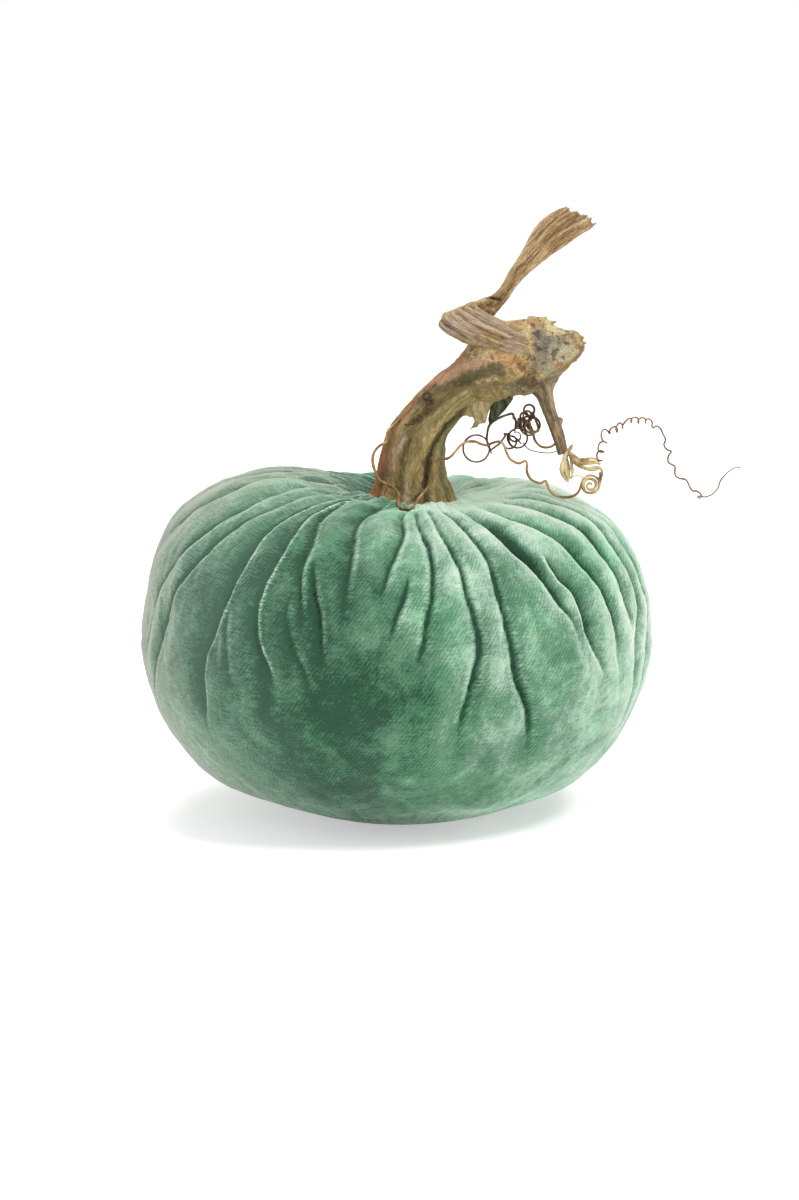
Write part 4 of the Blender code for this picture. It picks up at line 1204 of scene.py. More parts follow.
# Each painter gives the relief in mm and the colour at the points of a site.
def paint_stem(site):
    relief = 0.26 * site.fine + 0.40 * site.broad + 0.30 * site.rib + 0.10 * site.speck
    c = mix(TAN, OLIVE, ease(-0.5, 0.6, site.blotch + 0.5 * np.cos(site.angle - 0.3)))
    c = mix(c, BROWN, 0.70 * ease(0.0, 0.45, -site.broad))
    c = mix(c, STRAW, 0.45 * ease(0.1, 0.5, site.fine))
    # Darker down the middle of each groove.
    for at_foot, twist, wide, deep, end in GROOVES:
        gap = wrap(site.degrees - (at_foot + twist * site.run))
        groove_dark = np.clip(0.85 * min(1, deep / 2) * np.exp(-(gap / (0.75 * wide)) ** 2), 0, 1)
        c = mix(c, DARK, groove_dark * (1 - ease(end - 16, end, site.run)))
    left = wrap(site.degrees - 180)
    c = mix(c, RED, 0.85 * np.exp(-(left / 40) ** 2) * np.exp(-site.run / 9.0))
    c = mix(c, ROSE, 0.75 * np.exp(-((left - 22) / 30) ** 2) * ease(24, 36, site.run))
    return relief, c


def paint_node(site):
    crag = ridged(site.points / 2.1, 3, 181) - 0.5
    relief = 0.50 * crag + 0.22 * site.fine + 0.45 * fbm(site.points / 4.0, 3, 182)
    c = mix(TAN, STRAW, ease(-0.5, 0.6, site.blotch + 0.05 * (site.points[:, 2] - 139)))
    c = mix(c, SLATE, 0.45 * ease(0.05, 0.4, fbm(site.points / 5.0, 4, 191)))
    c = mix(c, BROWN, 0.65 * ease(0.02, 0.45, -crag))
    return relief, mix(c, PALE, 0.5 * ease(0.15, 0.5, site.speck))


def paint_stalk(site):
    relief = 0.20 * site.fine + 0.22 * site.rib + 0.10 * site.speck
    browned = ease(-0.1, 0.4, site.broad + 0.5 * (1 - ease(0, 12, site.run)))
    c = mix(srgb("#8a795e"), srgb("#6c4e33"), 0.85 * browned)
    c = mix(c, STRAW, 0.5 * ease(0.1, 0.5, site.fine))
    return relief, mix(c, DARK, 0.6 * ease(0.1, 0.5, -site.fine))


def paint_blade(site):
    relief = 0.10 * site.fine + 0.08 * site.rib + 0.04 * site.speck
    thread = fbm(np.c_[site.across * 3.4, site.run * 0.16], 2, 150 + site.number)
    c = mix(srgb("#8f6f48"), srgb("#b99c72"),
            ease(-0.5, 0.5, 0.7 * site.broad + 0.5 * site.blotch))
    c = mix(c, PALE * 0.85, 0.50 * ease(0.05, 0.45, 0.6 * site.fine + 0.6 * thread))
    return relief, mix(c, DARK, 0.62 * ease(0.06, 0.40, -0.6 * site.fine - 0.6 * thread))


def paint_fold(site):
    relief, c = paint_blade(site)
    shaded = ease(-0.3, 0.3, site.blotch) * ease(-1, -4, site.points[:, 1])
    return relief, mix(c, MAUVE, 0.5 * shaded)


def paint_marks(c, points, front):
    """The strokes and spots of mould on the front."""
    flat = points[:, [0, 2]]
    ragged = 1.3 * fbm(points / 2.6, 3, 201) + 0.35 * fbm(points / 0.9, 2, 202)
    for line, half, code, strength in STROKES:
        gap = line_distance(flat, table(line)) + ragged * min(1.4, half)
        c = mix(c, srgb(code), strength * front * (1 - ease(0.45 * half, 1.25 * half, gap)))
    mouldy = 1 - ease(5.0, 8.5, line_distance(flat, [(41, 146), (41, 136), (47, 143)]))
    mould = ease(0.18, 0.5, fbm(points / 1.5, 3, 203)) * mouldy
    return mix(c, BLACK, 0.75 * mould * front)


PAINTERS = {"stem": paint_stem, "node": paint_node, "stalk": paint_stalk, "fold": paint_fold,
            "blade": paint_blade}
P = read_vectors(wood.data).astype(float) / MM
P_NORMAL = read_vectors(wood.data, "normal").astype(float)
where = {name: organ.locate(P) for name, organ in organs.items()}
# How much each point belongs to each organ; the fold and stalk have a ragged border.
torn = {"fold": 0.30 * fbm(P / 2.0, 3, 95), "stalk": 0.15 * fbm(P / 1.5, 2, 96)}
score = np.stack([np.exp(-8.0 * np.clip(where[name][2] + torn.get(name, 0.0) - 0.35, 0, 3))
                  for name in organs], 1)
score[:, 0] *= np.where(where["stem"][0] > len(stem.path) - 12, 0.15, 1.0)
score[:, 2] *= np.where(where["stalk"][0] < 10, 0.25, 1.0)
score[:, 4] *= np.where(where["blade"][0] < 8, 0.3, 1.0)
score /= score.sum(1, keepdims=True) + 1e-12

relief = np.zeros(len(P))
colour = np.zeros((len(P), 3))
grain_at = np.zeros((len(P), 3))        # coordinates for the grain, drawn out along the organ
for k, (name, organ) in enumerate(organs.items()):
    weight = score[:, k]
    on = weight > 0.004
    index, angle, share = (values[on] for values in where[name])
    run, points = organ.run[index], P[on]
    off = points - organ.path[index]
    if name in ("stem", "node"):
        reach = np.clip(share * organ.r[index], 0.5, 20)
        spread_out = np.stack([reach * np.cos(angle), reach * np.sin(angle)], 1)
    elif name == "stalk":
        spread_out = np.stack([2.2 * np.cos(angle), 2.2 * np.sin(angle)], 1)
    else:
        spread_out = np.stack([(off * organ.right[index]).sum(1),
                               (off * organ.back[index]).sum(1)], 1)
    grain = np.c_[spread_out, run * (0.5 if name == "node" else 0.16)]
    mine = (weight > score.max(1) - 1e-9)[on]
    grain_at[np.flatnonzero(on)[mine]] = grain[mine] + 50.0 * k
    site = SimpleNamespace(
        number=k, points=points, run=run, angle=angle, degrees=np.degrees(angle),
        across=spread_out,
        fine=fbm(np.c_[spread_out * 1.5, run * 0.10], 3, 100 + k),
        broad=fbm(np.c_[spread_out * 0.55, run * 0.05], 3, 120 + k),
        rib=ridged(np.c_[spread_out * 0.9, run * 0.06], 2, 130 + k) - 0.5,
        blotch=fbm(points / 7.0, 4, 140 + k), speck=fbm(points / 1.1, 3, 160 + k))
    height, c = PAINTERS[name](site)
    if name in ("fold", "blade"):
        crack = line_distance(points[:, [0, 2]], CRACK) + 0.25 * fbm(points / 1.2, 2, 204)
        ahead = points[:, 1] < 4.0
        c = mix(c, DARK * 0.5, (1 - ease(0.2, 0.55, crack)) * ahead)
        height = height - 0.5 * (1 - ease(0.2, 0.6, crack)) * ahead
    else:
        c = paint_marks(c, points, ease(0.5, -2.5, off[:, 1]))
    relief[on] += weight[on] * height
    colour[on] += weight[on][:, None] * c
colour /= score.sum(1)[:, None] + 1e-12

# Darker in hollows and lighter on raised points: how far a point lies below its neighbours.
edges = np.zeros(len(wood.data.edges) * 2, np.int32)
wood.data.edges.foreach_get("vertices", edges)
edges = edges.reshape(-1, 2)
neighbours = np.maximum(np.bincount(edges.ravel(), minlength=len(P)).astype(float)[:, None], 1)
around_mean = P.copy()
for _ in range(14):
    total = np.zeros_like(around_mean)
    np.add.at(total, edges[:, 0], around_mean[edges[:, 1]])
    np.add.at(total, edges[:, 1], around_mean[edges[:, 0]])
    around_mean = 0.5 * around_mean + 0.5 * total / neighbours
hollow = ((around_mean - P) * P_NORMAL).sum(1)
colour = mix(colour, DARK * 0.7, ease(0.02, 0.26, hollow) * 0.80)
colour = mix(colour, PALE, ease(0.05, 0.30, -hollow) * 0.28)
carved = (P + relief[:, None] * P_NORMAL) * MM
wood.data.vertices.foreach_set("co", carved.astype(np.float32).ravel())
wood.data.update()
set_tone(wood, np.clip(colour, 0, 1))
set_attribute(wood, "grain_at", "FLOAT_VECTOR", grain_at)


def plant_material():
    m = Nodes("dried_plant")
    place = m.object_place()
    tone = m.attribute("tone", "Color")
    grain = m.noise(place, scale=2600.0, detail=3.0, rough=0.65)
    patch = m.noise(place, scale=420.0, detail=4.0, rough=0.6)
    lines = m.noise(m.attribute("grain_at", "Vector"), scale=2.6, detail=3.0, rough=0.7)
    speckle = m.times_plus(m.remap(grain, span=(0.25, 0.75)), by=0.42, plus=0.72)
    streaks = m.times_plus(m.remap(lines, span=(0.3, 0.7)), by=0.95, plus=0.50)
    height = m.plus(grain, m.times(lines, 2.0))
    return m.surface({"Base Color": m.shaded(tone, m.times(speckle, streaks)),
                      "Roughness": m.remap(patch, span=(0.3, 0.7), to=(0.62, 0.85)),
                      "Specular IOR Level": 0.3,
                      "Normal": m.bump(height, strength=0.6, distance=0.0004)})


PLANT = plant_material()
wood.data.materials.append(PLANT)
register(wood, "dried_stem", "pumpkin_stem", "vine_node", "leaf_stalk", "folded_vine",
         "vine_blade", body="stem")

# ================================================================ torn bark
SHEET_CELL = SHEET_THICK = 0.45


def sheet(name, outline_xz, y_of, tone_low, tone_high, seed):
    """A torn sheet: an outline in X and Z filled with a fine grid, bent by y_of, with thickness."""
    poly = np.array(outline_xz, float)
    closed = np.vstack([poly, poly[:1]])
    (low_x, low_z), (high_x, high_z) = poly.min(0), poly.max(0)
    grid_x, grid_z = np.meshgrid(np.arange(low_x + SHEET_CELL / 2, high_x, SHEET_CELL),
                                 np.arange(low_z + SHEET_CELL / 2, high_z, SHEET_CELL))
    grid = np.c_[grid_x.ravel(), grid_z.ravel()]
    inside = np.zeros(len(grid), bool)
    for a, b in zip(closed[:-1], closed[1:]):
        spans = (a[1] > grid[:, 1]) != (b[1] > grid[:, 1])
        with np.errstate(divide="ignore", invalid="ignore"):
            crossing = (b[0] - a[0]) * (grid[:, 1] - a[1]) / (b[1] - a[1]) + a[0]
        inside ^= spans & (grid[:, 0] < crossing)
    grid = grid[inside & (line_distance(grid, closed) > 0.4 * SHEET_CELL)]
    border = resample(closed, SHEET_CELL)[0][:-1]
    filled = delaunay_2d_cdt([Vector(point) for point in np.vstack([border, grid])], [],
                             [list(range(len(border)))], 1, 1e-6)
    x, z = np.array([tuple(point) for point in filled[0]]).T
    y = y_of(x, z) + 0.12 * noise(np.c_[x * 2.2, z * 0.5, 0 * x], seed)
    obj = make_mesh(name, np.c_[x, y, z], [list(face) for face in filled[2]])
    thickness = obj.modifiers.new("thickness", "SOLIDIFY")
    thickness.thickness = SHEET_THICK * MM
    thickness.offset = 0
    mesh = bpy.data.meshes.new_from_object(evaluated(obj))
    obj.modifiers.clear()
    obj.data = mesh
    mesh.name = name
    points = read_vectors(mesh) / MM
    streaks = fbm(np.c_[points[:, 0] * 1.8, points[:, 2] * 0.35, points[:, 1]], 3, seed + 5)
    set_tone(obj, mix(srgb(tone_low), srgb(tone_high), ease(-0.45, 0.45, streaks)))
    mesh.materials.append(PLANT)
    return obj


def bow(x, left, width):
    """1 in the middle of a sheet, 0 at its left and right edge."""
    return np.sin(np.clip((x - left) / width, 0, 1) * math.pi)


BARK_LIGHT = table("""19 121.6, 19.6 120.1, 21 120.4, 21.8 119.9, 22.6 120.1, 23.2 118.8,
    22.6 117.4, 21.7 116, 22.9 116.7, 24 116.9, 24.5 117.9, 25.4 118, 26.4 118.1, 27.1 121,
    28.9 125.2, 25.6 126, 22 124.6""")
light = sheet("bark_light", BARK_LIGHT,
              lambda x, z: -2.6 - 1.5 * bow(x, 19, 9.5) + 0.10 * (122 - z),
              "#8a7a4c", "#c3b184", 301)
register(light, "dried_bark", "bark_flap_light", body="stem")
BARK_DARK = table("""28.4 126, 28 122, 27.4 119, 27.6 117, 28.9 118, 30.6 119.8, 32.4 121.6,
    34.6 124.6, 35.2 127.4, 31.6 127.2""")
dark = sheet("bark_dark", BARK_DARK,
             lambda x, z: 0.6 + 1.1 * (x - 28) / 6.0 - 1.2 * bow(x, 27.4, 8),
             "#2e3024", "#777a5e", 305)
register(dark, "bark_inside", "bark_flap_dark", body="stem")


# ================================================================ wires
def wire(shells, points, radius, taper, seed, step=0.33, steps=6, sides=8, knobbly=0.12):
    """Adds a wire; taper is the share of the radius left at its root and its tip."""
    path, run = resample(smooth(points, steps), step)
    share = np.linspace(0, 1, len(path))
    radii = radius * (1 + knobbly * noise(np.c_[run * 0.7, 0 * share, 0 * share + seed], seed))
    radii *= 1 - (1 - taper[0]) * np.exp(-run / 4.0) - (1 - taper[1]) * ease(0.55, 1.0, share)
    shells.tube(path, radii, sides)


def wires(*rows, **options):
    """New shells from rows of points, radius, taper and seed."""
    shells = Shells()
    for row in rows:
        wire(shells, *row, **options)
    return shells


def turns(centre, radius, start, sweep, tilt, drift=(0, 0, 0)):
    """Points of an arc or coil in the XZ plane, start and sweep in degrees."""
    count = max(3, int(abs(sweep) / 360 * 10))
    share = np.arange(count + 1) / count
    a = np.radians(start + sweep * share)
    x = centre[0] + radius * np.cos(a) + drift[0] * share
    y = centre[1] + tilt * np.sin(a) + drift[1] * share
    z = centre[2] + radius * np.sin(a) + drift[2] * share
    return [tuple(point) for point in np.c_[x, y, z]]


def wire_material():
    m = Nodes("dried_wire")
    place = m.object_place()
    tone = m.attribute("tone", "Color")
    grain = m.noise(place, scale=3000.0, detail=2.0, rough=0.6)
    shade = m.times_plus(grain, by=0.5, plus=0.75)
    return m.surface({"Base Color": m.shaded(tone, shade), "Roughness": 0.5,
                      "Specular IOR Level": 0.4,
                      "Normal": m.bump(grain, strength=0.3, distance=0.0002)})


WIRE = wire_material()


def wire_object(name, shells, tones, seed, part, body="stem", slot="dried_tendril", retone=None):
    points = shells.array()
    obj = make_mesh(name, points, shells.faces)
    broad = fbm(points / 4.5, 3, seed)
    fine_tone = fbm(points / 0.8, 2, seed + 3)
    low, high = (srgb(code) for code in tones)
    c = mix(low, high, ease(-0.5, 0.5, broad + 0.25 * fine_tone))
    if retone is not None:
        c = retone(points, c, broad)
    set_tone(obj, c)
    obj.data.materials.append(WIRE)
    register(obj, slot, part, body=body)
    return obj


# Wires that lie on a surface are placed along the sight line from a point in front, in mm.
SIGHT_FROM = np.array([0.76, -1083.3, 254.8])
bpy.context.view_layer.update()


def laid_on(point, obj, over):
    """The point moved along the sight line on to obj, if obj hides it or lies just behind it."""
    point = np.array(point, float)
    ahead = unit(point - SIGHT_FROM)
    found, hit, _, _ = obj.ray_cast(Vector(SIGHT_FROM * MM), Vector(ahead))
    if found:
        hit = np.array(hit) / MM
        if np.dot(hit - SIGHT_FROM, ahead) < np.dot(point - SIGHT_FROM, ahead) + 1.2:
            return hit - over * ahead + np.array([0, 0, 0.4 * over])
    return point


# ---------------------------------------------------------------- looping tendril
LOOP = table("""1.4 -2.2 119.6, -.4 -4 118.1, -2.3 -5.6 116.6, -3.1 -6.8 114.6, -3.3 -7.8 113,
    -5 -8.8 112.1, -6.5 -9.2 110.6, -7.2 -9.6 108.6, -7.1 -10.4 106.6, -6.3 -11.4 104.2,
    -5.3 -12.6 102.2, -4 -14.2 101.7, -2.3 -16 101.1, -.6 -17.6 100.3, .5 -18.6 99.2, .9 -20 97.9,
    .4 -22 96.6, 1.1 -23 95, 2.6 -23.4 94.7, 4.1 -23 95, 5.4 -22 96.2, 6.4 -20.4 97.9,
    8.1 -18.8 99.5, 9.6 -17.4 101.3, 10.6 -16.2 103.3, 11.1 -15 105.6, 11.7 -13.6 107.8,
    12.6 -12.6 108.9, 13.8 -11.8 108.5, 15.1 -11 108.5, 16.4 -10.2 109.3, 17.6 -9.3 110.6,
    19.1 -8.5 112.2, 20.9 -7.4 113, 23.3 -6.3 112.9, 25.1 -5.8 112.1, 27.1 -5.5 111.7,
    28.3 -5.3 112.3, 29.9 -5 112.7, 31 -5.4 112.7, 31.9 -5.8 111.8, 32.5 -6.2 110.1,
    33.7 -6.6 107.8, 35.5 -7.1 106.7, 36.7 -7.5 106.6, 38.3 -7.9 107.3, 38.8 -8.3 106.2,
    38.7 -8.6 104.4, 39.6 -9 102.3, 41.3 -9.4 101.2, 42.8 -9.7 100.9, 44.2 -10.1 101.7,
    44.7 -10.5 100.7, 45.4 -10.8 99, 46.9 -11.1 97.5, 49.1 -11.3 96.9, 51.5 -11.5 97,
    53.3 -11.6 97.8, 54.3 -11.8 99.2, 54.7 -11.9 100.8""")
# It grows from the side of the stem and lies on the cushion.
_, root_at, root_out, _ = wood.closest_point_on_mesh(Vector(np.array(LOOP[0]) * MM))
loop_path = [tuple(np.array(root_at) / MM - 0.5 * np.array(root_out))]
loop_path += [tuple(laid_on(point, velvet, 0.8)) if point[2] < 104 and -8 < point[0] < 14
              else point for point in LOOP]


def loop_tone(points, c, broad):
    x = points[:, 0]
    gold = ease(28, 40, x)
    c = mix(c, srgb("#b08f56"), 0.6 * gold * ease(-0.3, 0.4, broad))
    return mix(c, srgb("#4a2c18"), 0.6 * ease(0.0, 0.5, np.sin(x * 0.9) - 0.3) * (1 - gold))


wire_object("tendril_looping", wires((loop_path, 0.42, (0.7, 0.9), 1)), ("#63431f", "#b58c52"),
            401, "looping_tendril", retone=loop_tone)

# ---------------------------------------------------------------- tangled tendril
MAIN_TANGLE = (
    table("""27.4 -5 111, 26.9 -4.4 113, 26.9 -4.2 114.6, 27.5 -3.5 117.2, 29 -2.8 118.6,
        31.1 -2 119.7, 33.5 -1.5 120.5, 34.7 -1 120.5, 35 -.8 119""")
    + [(35.2 + 0.30 * k + 0.25 * math.sin(2.3 * k), -0.6 + 1.1 * math.sin(k * math.pi / 2),
        117.6 + (1.7 - 0.04 * k) * math.cos(k * math.pi / 2) + 0.3 * math.sin(0.9 * k))
       for k in range(16)]
    + turns((40.2, -0.6, 116.8), 2.1, 160, 500, 0.7, (1.2, 0.4, 0.6))
    + table("41.4 -.2 119, 40.6 .3 120.8")
    + turns((39.6, 0.4, 121.5), 1.6, -20, 400, 0.5))
tangle = wires((MAIN_TANGLE, 0.40, (0.8, 0.8), 3), step=0.28)
for row in (
        (table("""28 -5.4 110.2, 29.6 -4.6 111.3, 30.8 -3.7 112.1, 31.7 -3 113.2, 32.4 -2.3 114.2,
            32.2 -1.6 114.7, 33.6 -.7 114.1, 35.7 0 113.1, 37.3 .6 111.3"""), 0.36, (0.8, 0.6), 4),
        (turns((35.9, -1.2, 113.4), 2.9, 150, 470, 0.8, (0.6, 0.5, -0.3)), 0.29, (0.9, 0.6), 5),
        (turns((34.8, -1.8, 114.2), 1.5, 60, 420, 0.5, (1.0, 0, -0.6)), 0.30, (0.9, 0.6), 6),
        (turns((33.4, -2.2, 111.9), 1.7, 200, 330, 0.5, (1.4, 0.3, 0.5)), 0.33, (0.8, 0.7), 15),
        (turns((39.0, -0.4, 117.4), 2.4, 40, 300, 0.8, (0.6, 0.6, -1.2)), 0.36, (0.8, 0.8), 16),
        (table("""39.4 .8 117.8, 40.6 1.2 115.6, 41 1 113.9, 41.4 .2 112.4, 42.8 -.8 110.9,
            44.4 -1.6 110.5, 45.8 -2 110.7, 46.8 -2.6 111.3, 47.8 -3 112.4"""),
         0.42, (0.7, 0.9), 7),
        (table("""37.9 1.4 111.6, 39 1 110.1, 40.7 0 109.3, 44 -1.6 108.9, 46.4 -2.8 109.1,
            48.4 -3.6 109.9"""), 0.19, (0.9, 0.9), 8),
        (turns((23.7, -4.6, 110.6), 3.95, 15, 372, 0.9)
         + table("27.9 -4.6 110.4, 28.2 -5 109"), 0.30, (0.8, 0.8), 9),
        (turns((38.0, 0.2, 119.2), 1.5, 0, 660, 0.7, (1.6, -0.6, 0.8)), 0.36, (0.7, 0.7), 10)):
    wire(tangle, *row)


def tangle_tone(points, c, broad):
    low_right = ease(39, 42, points[:, 0]) * (points[:, 2] < 116)
    return mix(c, srgb("#a07b4c"), 0.8 * low_right)


wire_object("tendril_tangle", tangle, ("#2f2015", "#6a4a2a"), 411, "tangled_tendril",
            retone=tangle_tone)

# ---------------------------------------------------------------- curls on the stem
CURL = (turns((8.9, -9.0, 126.8), 1.1, 60, 660, 0.2) + [(9.9, -9.0, 126.0)]
        + turns((9.9, -9.0, 125.0), 0.75, 60, -400, 0.2)
        + turns((8.9, -9.0, 122.9), 0.75, 70, 400, 0.2, (-0.2, 0, -0.3))
        + turns((7.0, -9.0, 120.7), 0.85, 50, 420, 0.2, (-0.3, 0, -0.3))
        + turns((5.2, -9.0, 119.4), 0.75, 50, 380, 0.2, (-0.4, 0, -0.3))
        + [(3.6, -9.0, 118.2), (2.2, -9.0, 118.4)])
curl_path = [tuple(laid_on((x, y + 3.0 - 0.25 * (k % 3), z - 0.3), wood, 0.30))
             for k, (x, y, z) in enumerate(CURL)]
wire_object("tendril_on_stem", wires((curl_path, 0.34, (0.8, 0.8), 12), step=0.25),
            ("#2c1810", "#5e3c22"), 421, "stem_curl_tendril")

# ---------------------------------------------------------------- husk at the stalk's tip
HUSK = zip((0.78, 0.80, 0.62, 1.0), tables("""
    52.3 -8.2 112.2, 51.6 -7.6 111, 50.6 -7.4 109.6, 49.7 -7.6 107.4, 49.2 -8 105.4,
    49.4 -8.3 103.4, 50.4 -8.5 101.9, 51.3 -8.6 101.3;
    50.8 -7 109.4, 50.4 -7.4 107.4, 50.2 -8 105.2, 50.6 -8.5 103.2, 51.2 -8.7 102;
    51.2 -6.6 109.6, 52 -7.6 107.8, 52.1 -8.2 105.6, 52.3 -8.5 103.6, 51.9 -8.6 101.9;
    50.2 -5.9 109.4, 50.6 -6.6 106.8, 51 -7.4 104.4, 51.3 -8 102"""))
husk = wires(*((points, thick, (0.5, 0.6), int(100 * thick)) for thick, points in HUSK),
             step=0.35, sides=12, knobbly=0.2)
wire_object("husk", husk, ("#6a5330", "#d8c495"), 431, "stalk_sheath", slot="dried_bark")

# ---------------------------------------------------------------- straws of the husk
straw_upper = wires(
    (table("""51.3 -7.6 110.2, 52.3 -8 109.4, 54.3 -8.6 108, 56.8 -9.2 108.2, 58.9 -9.6 108.2,
        60 -9.8 107.2"""), 0.42, (0.8, 0.7), 21),
    (table("""51.2 -8.2 109.6, 52.6 -8.6 108, 54.4 -9.1 106.9, 56.8 -9.5 106.8, 59.2 -9.8 106.9,
        60.6 -10 106.6"""), 0.60, (0.8, 0.6), 22),
    (table("51.8 -8 109.6, 54 -8.8 107.6, 57 -9.4 107.5, 59.2 -9.8 107.5"), 0.36, (0.8, 0.6), 24))
wire_object("straw_upper", straw_upper, ("#6d4f2a", "#d3bd88"), 441, "sheath_fibre_upper",
            slot="dried_bark")
ROSETTE = table("""54.7 -11.9 100.8, 55.3 -12 102.4, 56.8 -12.1 103.5, 58.7 -12.2 103.3,
    60 -12.2 102, 60.2 -12.1 100.4, 59.4 -12 98.9, 57.6 -12 98.2, 56 -12.3 98.7, 55.3 -12.6 100.2,
    55.6 -12.8 101.8, 57 -13 102.7, 58.6 -13 102.2, 59.2 -12.9 100.8, 58.5 -12.8 99.6,
    57.1 -12.9 99.4, 56.4 -13.1 100.4, 57 -13.2 101.4, 58 -13.2 101""")
straw_lower = wires(
    (table("""51.6 -8.8 109.2, 52.8 -9.2 107.2, 55.1 -9.5 105.7, 58.1 -9.9 105, 60 -10.4 105.6,
        60.9 -10.9 104.9, 60.7 -11.5 103.4, 59.6 -12 102.4"""), 0.58, (0.8, 0.6), 23),
    (table("52 -9.1 108, 53.6 -9.5 106.3, 56.2 -9.9 105.4, 58.8 -10.3 105.8, 60.2 -10.7 106"),
     0.46, (0.8, 0.6), 25),
    (table("60.2 -11.2 104.4, 60.6 -11.5 102.6") + ROSETTE[4:], 0.50, (0.8, 0.8), 28),
    (ROSETTE[:6] + table("60.6 -12.3 102.4, 61 -12.2 104"), 0.36, (0.8, 0.8), 29),
    (table("52.2 -8.9 102.7, 53.4 -9.6 103.1, 54.6 -10.6 103.1, 55.6 -11.6 102.6"),
     0.20, (0.8, 0.8), 27))
wire_object("straw_lower", straw_lower, ("#7d6033", "#dcc794"), 443, "sheath_fibre_lower",
            slot="dried_bark")

# ---------------------------------------------------------------- free tendril: coil and tip
# Every turn is a round bow on one side and pinches to a point on the other: X and Z of each.
PINCHES = table("""61 107.9, 61.5 110.4, 62.3 113.1, 63.2 115.9, 65.3 116.3, 67 117.5,
    69.5 119.2, 71.6 119, 73.7 119, 75.6 118.1""")
BOWS = table("""59.4 109.5, 59.8 112.1, 60.7 116.2, 64.2 117.9, 65.6 118.8, 68.2 120,
    70.5 120.8, 72.6 120.7, 74.8 120.3""")
coil = table("59.8 -9.8 107.5, 60.5 -10.2 107.6")
for k, (a, b, tip_at) in enumerate(zip(*map(np.array, (PINCHES[:-1], PINCHES[1:], BOWS)))):
    out_by = (tip_at - (a + b) / 2) * 4 / 3
    overrun = (b - a) * 0.42
    handle_a, handle_b = a + out_by - overrun, b + out_by + overrun
    for u in np.arange(0, 8) / 8:
        x, z = ((1 - u) ** 3 * a + 3 * (1 - u) ** 2 * u * handle_a
                + 3 * (1 - u) * u * u * handle_b + u ** 3 * b)
        coil.append((x, -10.9 - 0.05 * k - 0.95 * math.sin(2 * math.pi * u), z))
coil.append((PINCHES[-1][0], -11.3, PINCHES[-1][1]))
coil.append((76.1, -11.2, 117.5))
TIP = table("""76.1 -11.2 117.5, 76.5 -11.1 118, 77.2 -11 118.1, 78.2 -10.7 117.4, 79 -10.3 115.7,
    79.8 -9.9 114, 79.4 -9.4 112.3, 80.4 -8.9 110.8, 81.7 -8.3 110.2, 80.9 -7.7 108.8,
    80.9 -7 106.9, 82 -6.5 106, 83 -6 105.3, 83.1 -5.4 102.9, 84.3 -4.9 101.7, 86.5 -4.2 101.1,
    87.6 -3.6 99.1, 88.5 -3.1 97.7, 90 -2.6 97.4, 91.2 -2.2 96.5, 91.4 -1.7 95.6, 90.8 -1.5 95.1,
    90.3 -1.8 95.6, 91 -2.2 95.9, 92.5 -2 95.6, 94.7 -1.2 96.3, 96.4 -.6 98.1, 97.2 0 100.2,
    98.9 .7 102.2, 100.5 1.2 103.4, 102.2 1.8 104.1, 103.3 2.2 103.9""")
spring = wires((coil, 0.255, (0.9, 0.95), 31), step=0.22, steps=3)
tip = wires((TIP, 0.26, (1.0, 0.7), 33), step=0.3)
coil_obj = wire_object("tendril_coil_visual", spring, ("#563416", "#8f6636"), 451,
                       "spring_tendril", body=None)
tip_obj = wire_object("tendril_tip_visual", tip, ("#4e3a20", "#86663a"), 453,
                      "tendril_tip", body=None)


def root_blend(obj, shells, path, length):
    """Weights that grow from 0 at the root of a tendril to 1 after this length."""
    dense, run = resample(smooth(path, 4), 0.4)
    along = run[nearest_index(shells.array(), dense, 5000)]
    set_blend(obj, ease(0.0, length, along))


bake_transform(coil_obj, "stem", "tendril_coil", (0.0600, -0.010, 0.1076), (0.0610, -0.011, 0.1120))
root_blend(coil_obj, spring, coil, 9.0)
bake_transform(tip_obj, "tendril_coil", "tendril_end", (0.0750, -0.011, 0.1190), (0.0790, -0.010, 0.1160))
root_blend(tip_obj, tip, TIP, 7.0)


# ================================================================ CAD pieces that stay
def cad_material(name, code, roughness):
    m = Nodes(name + "_finish")
    mottle = m.noise(m.object_place(), scale=900.0, detail=3.0, rough=0.6)
    darker = (*(0.7 * srgb(code)), 1)
    colour = m.blend(m.remap(mottle, span=(0.3, 0.7), to=(0, 0.5)), rgba(code), darker)
    return m.surface({"Base Color": colour, "Roughness": roughness,
                      "Normal": m.bump(mottle, strength=0.4, distance=0.0005)})


# Part, colour, roughness.
for name, code, roughness in (("weight_pellets", "#cfccc0", 0.4), ("bag_tie", "#5d4a33", 0.8),
                              ("gather_thread", "#3c5f4a", 0.8), ("glue_pad", "#cbb98a", 0.3)):
    material = cad_material(name, code, roughness)
    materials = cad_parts[name].data.materials
    materials.clear()
    materials.append(material)

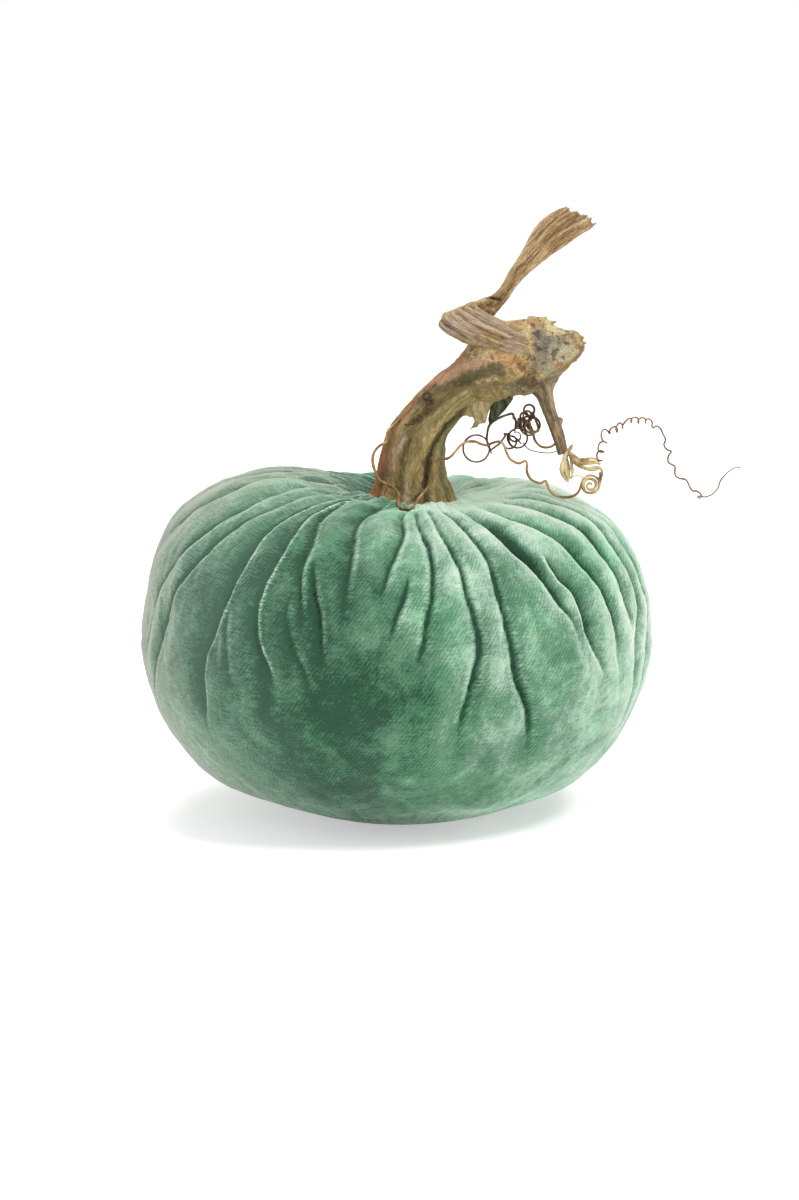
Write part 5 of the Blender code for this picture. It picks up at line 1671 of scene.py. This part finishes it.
# ================================================================ floor, light and camera, in metres
FLOOR_HALF, FLOOR_Z = 6, -0.0002
floor_mesh = bpy.data.meshes.new("floor")
floor_mesh.from_pydata([(x * FLOOR_HALF, y * FLOOR_HALF, FLOOR_Z)
                        for x, y in ((-1, -1), (1, -1), (1, 1), (-1, 1))], [], [(0, 1, 2, 3)])
floor = link("floor", floor_mesh)
floor_mesh.materials.append(Nodes("pale_floor").surface({
    "Base Color": (0.93, 0.93, 0.93, 1), "Roughness": 0.9, "Specular IOR Level": 0.0,
    "Emission Color": (1.0, 0.955, 0.985, 1), "Emission Strength": 0.45}))


def aim(obj, place, target):
    obj.location = place
    obj.rotation_euler = (Vector(target) - Vector(place)).to_track_quat("-Z", "Y").to_euler()


def area(name, place, target, size, watts, colour=(1, 1, 1)):
    lamp = bpy.data.lights.new(name, "AREA")
    lamp.shape = "DISK"
    lamp.size = size
    lamp.energy = watts
    lamp.color = colour
    aim(link(name, lamp), place, target)


area("key", place=(0.60, -0.55, 1.05), target=(0, 0, 0.08), size=0.45, watts=10.0,
     colour=(1.0, 0.99, 0.97))
area("fill", place=(-0.9, -0.7, 0.6), target=(0, 0, 0.06), size=0.9, watts=2.0,
     colour=(0.97, 0.985, 1.0))
area("top", place=(-0.15, 0.35, 1.15), target=(0, 0, 0.08), size=0.6, watts=6.0)

# The white world is brighter to the camera than as a light.
WORLD_LIGHT, WORLD_SEEN = 0.62, 1.0
scene = bpy.context.scene
world = bpy.data.worlds.new("studio")
scene.world = world
world.use_nodes = True
tree = world.node_tree
background = tree.nodes["Background"]
light_path = tree.nodes.new("ShaderNodeLightPath")
strength = tree.nodes.new("ShaderNodeMapRange")
strength.inputs["To Min"].default_value = WORLD_LIGHT
strength.inputs["To Max"].default_value = WORLD_SEEN
tree.links.new(light_path.outputs["Is Camera Ray"], strength.inputs["Value"])
tree.links.new(strength.outputs[0], background.inputs["Strength"])
background.inputs["Color"].default_value = (1, 1, 1, 1)

scene.view_settings.view_transform = "Standard"
scene.view_settings.look = "None"
camera_data = bpy.data.cameras.new("camera")
camera_data.sensor_width = 36.0
camera_data.sensor_fit = "AUTO"
camera_data.lens = 109.2
camera = link("camera", camera_data)
aim(camera, place=(0.00076, -1.08329, 0.25484), target=(0.00076, 0.0, 0.06383))
scene.camera = camera
